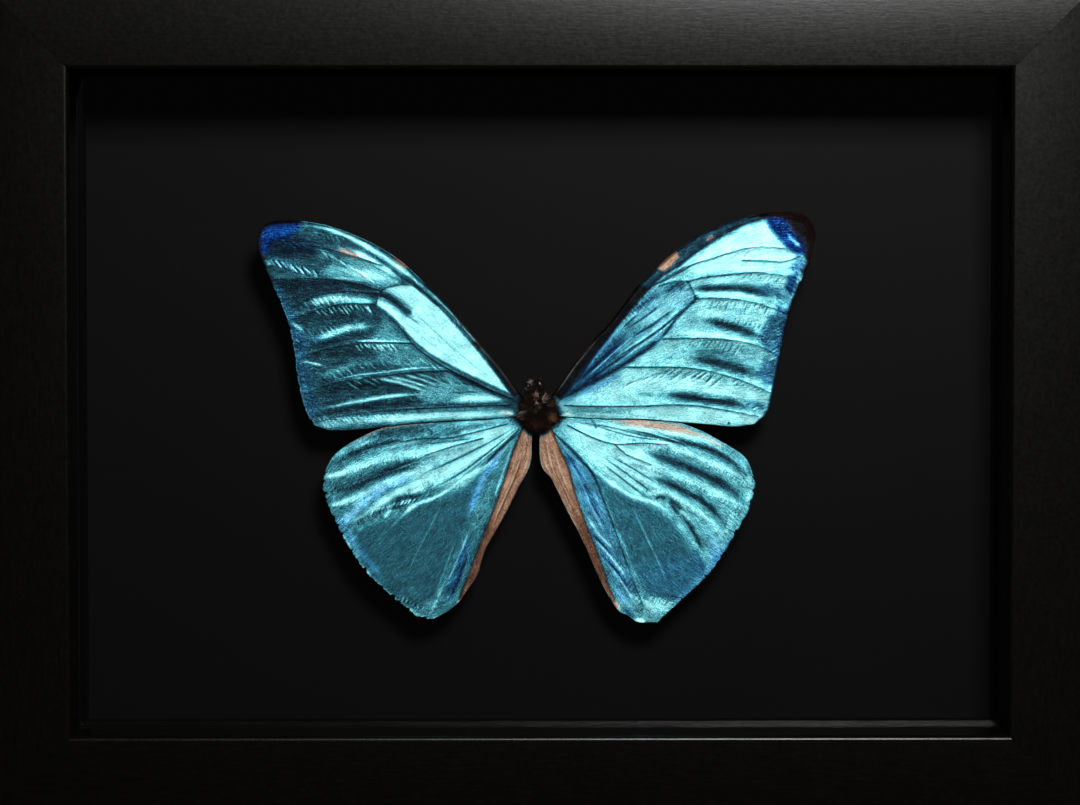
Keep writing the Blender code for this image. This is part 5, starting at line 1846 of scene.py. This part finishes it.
    def build(self) -> list[bpy.types.Object]:
        """Build the body.

        Returns:
            Its pieces.
        """
        low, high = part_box("thorax")
        half = (high - low) / 2 * self.skin_share
        thorax = ((low + high) / 2 + Vector(self.thorax_shift) * MM,
                  Vector((half.x * self.thorax_shape[0], half.y, half.z * self.thorax_shape[1])))
        low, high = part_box("head")
        half = (high - low) / 2 * self.skin_share
        middle = (low + high) / 2 + Vector((self.head_shift[0], 0.0, self.head_shift[1])) * MM
        head = (middle, Vector((half.x * self.head_narrowing, half.y, half.z)))
        pieces = [
            self.furry("body_thorax", "thorax", thorax, self.hairs, self.hair_length, self.seed),
            self.furry("body_head", "head", head, self.hairs // 3, self.hair_length * self.head_hair,
                       self.seed + 1),
        ]
        for side, name in ((-1, "eye_left"), (1, "eye_right")):
            out, forward, up = self.eye_shift
            centre = middle + Vector((side * out * MM, forward * MM, up * MM))
            pieces.append(self.eye(name, centre, Vector(self.eye_half) * MM, -side * self.eye_turn))
        return pieces


# ---------------------------------------------------------------- studio

@dataclass(frozen=True)
class SoftLamp:
    """A large square lamp of the studio; place and size are in metres, power in watts."""

    name: str
    place: Place
    size: float
    power: float


@dataclass
class Studio:
    """Camera, key lamp, soft lamps behind the frame, dim surroundings and a pale floor.

    The offsets are from the middle of the frame's face, and the angles are in degrees.
    """

    camera_offset: Vector = field(default_factory=lambda: Vector((-5.1, -624.0, 23.4)) * MM)
    turn_right: float = 0.46
    tilt_down: float = 2.12
    lens: float = 113.73
    lamp_offset: Vector = field(default_factory=lambda: Vector((100.0, -550.0, 280.0)) * MM)
    lamp_size: float = 0.14
    lamp_power: float = 5.0
    soft_lamps: tuple[SoftLamp, ...] = (
        SoftLamp("back_lamp", (0.5, 1.3, 1.0), 1.2, 22.0),
        SoftLamp("left_lamp", (-1.3, 0.35, 0.8), 0.9, 9.0),
        SoftLamp("right_lamp", (1.3, 0.35, 0.8), 0.9, 9.0),
    )
    ambient: float = 0.012
    backdrop: float = 0.45
    floor_reach: float = 2.0
    dome_reach: float = 6.0

    def build(self) -> None:
        """Set up the scene round the frame."""
        scene = bpy.context.scene
        scene.view_settings.view_transform = "Standard"
        glass_low, glass_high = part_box("glass")
        front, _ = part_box("rail_top")
        middle = Vector((0.0, front[1], (glass_low[2] + glass_high[2]) / 2))
        self.place_camera(middle)
        self.lamp("key_lamp", middle + self.lamp_offset, middle, self.lamp_size, self.lamp_power)
        for soft in self.soft_lamps:
            self.lamp(soft.name, Vector(soft.place), middle, soft.size, soft.power)
        self.surroundings()

    def place_camera(self, middle: Vector) -> None:
        """Put the camera in front of the frame, a little left of its middle and above it.

        Args:
            middle: middle of the frame's face.
        """
        data = bpy.data.cameras.new("camera")
        data.lens = self.lens
        data.sensor_width = 36.0
        data.clip_start = 0.01
        camera = bpy.data.objects.new("camera", data)
        camera.location = middle + self.camera_offset
        camera.rotation_euler = (math.radians(90.0 - self.tilt_down), 0.0, math.radians(-self.turn_right))
        bpy.context.scene.collection.objects.link(camera)
        bpy.context.scene.camera = camera

    def lamp(self, name: str, place: Vector, target: Vector, size: float, power: float) -> bpy.types.Object:
        """Hang a square lamp that points at a target.

        Args:
            name: name of the lamp.
            place: where it hangs.
            target: what it points at.
            size: length of its side.
            power: its power in watts.

        Returns:
            The lamp.
        """
        data = bpy.data.lights.new(name, "AREA")
        data.size = size
        data.energy = power
        lamp = bpy.data.objects.new(name, data)
        lamp.location = place
        lamp.rotation_euler = (target - place).to_track_quat("-Z", "Y").to_euler()
        bpy.context.scene.collection.objects.link(lamp)
        return lamp

    def surroundings(self) -> None:
        """Make the dim world, the floor and the backdrop."""
        world = bpy.data.worlds.new("studio")
        world.use_nodes = True
        world.node_tree.nodes["Background"].inputs["Color"].default_value = (1.0, 1.0, 1.0, 1.0)
        world.node_tree.nodes["Background"].inputs["Strength"].default_value = self.ambient
        bpy.context.scene.world = world
        corners = np.array([(-1, -1, 0), (1, -1, 0), (1, 1, 0), (-1, 1, 0)]) * self.floor_reach
        floor = new_mesh_object("studio_floor", corners, [[0, 1, 2, 3]], StudioGrey().make())
        floor.visible_glossy = False
        floor.visible_diffuse = False
        floor.visible_transmission = False
        dome = self.dome()

    def dome(self) -> bpy.types.Object:
        """Make a plain grey dome that only the camera sees.

        Returns:
            The dome.
        """
        half = Vector((self.dome_reach, self.dome_reach, self.dome_reach))
        corners, faces = egg(Vector((0, 0, 0)), half, rings=24, bumps=0.0)
        recipe = Recipe("backdrop")
        grey = (self.backdrop, self.backdrop, self.backdrop)
        recipe.set(
            Base_Color=(0.0, 0.0, 0.0, 1.0),
            Emission_Color=(*grey, 1.0),
            Emission_Strength=1.0,
            Specular_IOR_Level=0.0,
        )
        dome = new_mesh_object("backdrop", corners, faces, recipe.material)
        dome.visible_glossy = False
        dome.visible_diffuse = False
        dome.visible_transmission = False
        dome.visible_shadow = False
        return dome


def main() -> None:
    """Build the framed butterfly and report each piece."""
    logging.basicConfig(level=logging.INFO, format="%(message)s")
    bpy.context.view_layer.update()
    Studio().build()
    pieces = Moulding().build()
    Glazing().dress()
    for describe in (forewing_left, forewing_right, hindwing_left, hindwing_right):
        pieces.append(describe().build())
    pieces += Body().build()
    for piece in pieces:
        LOG.info("%s: %d faces", piece.name, len(piece.data.polygons))


if __name__ == "__main__":
    main()
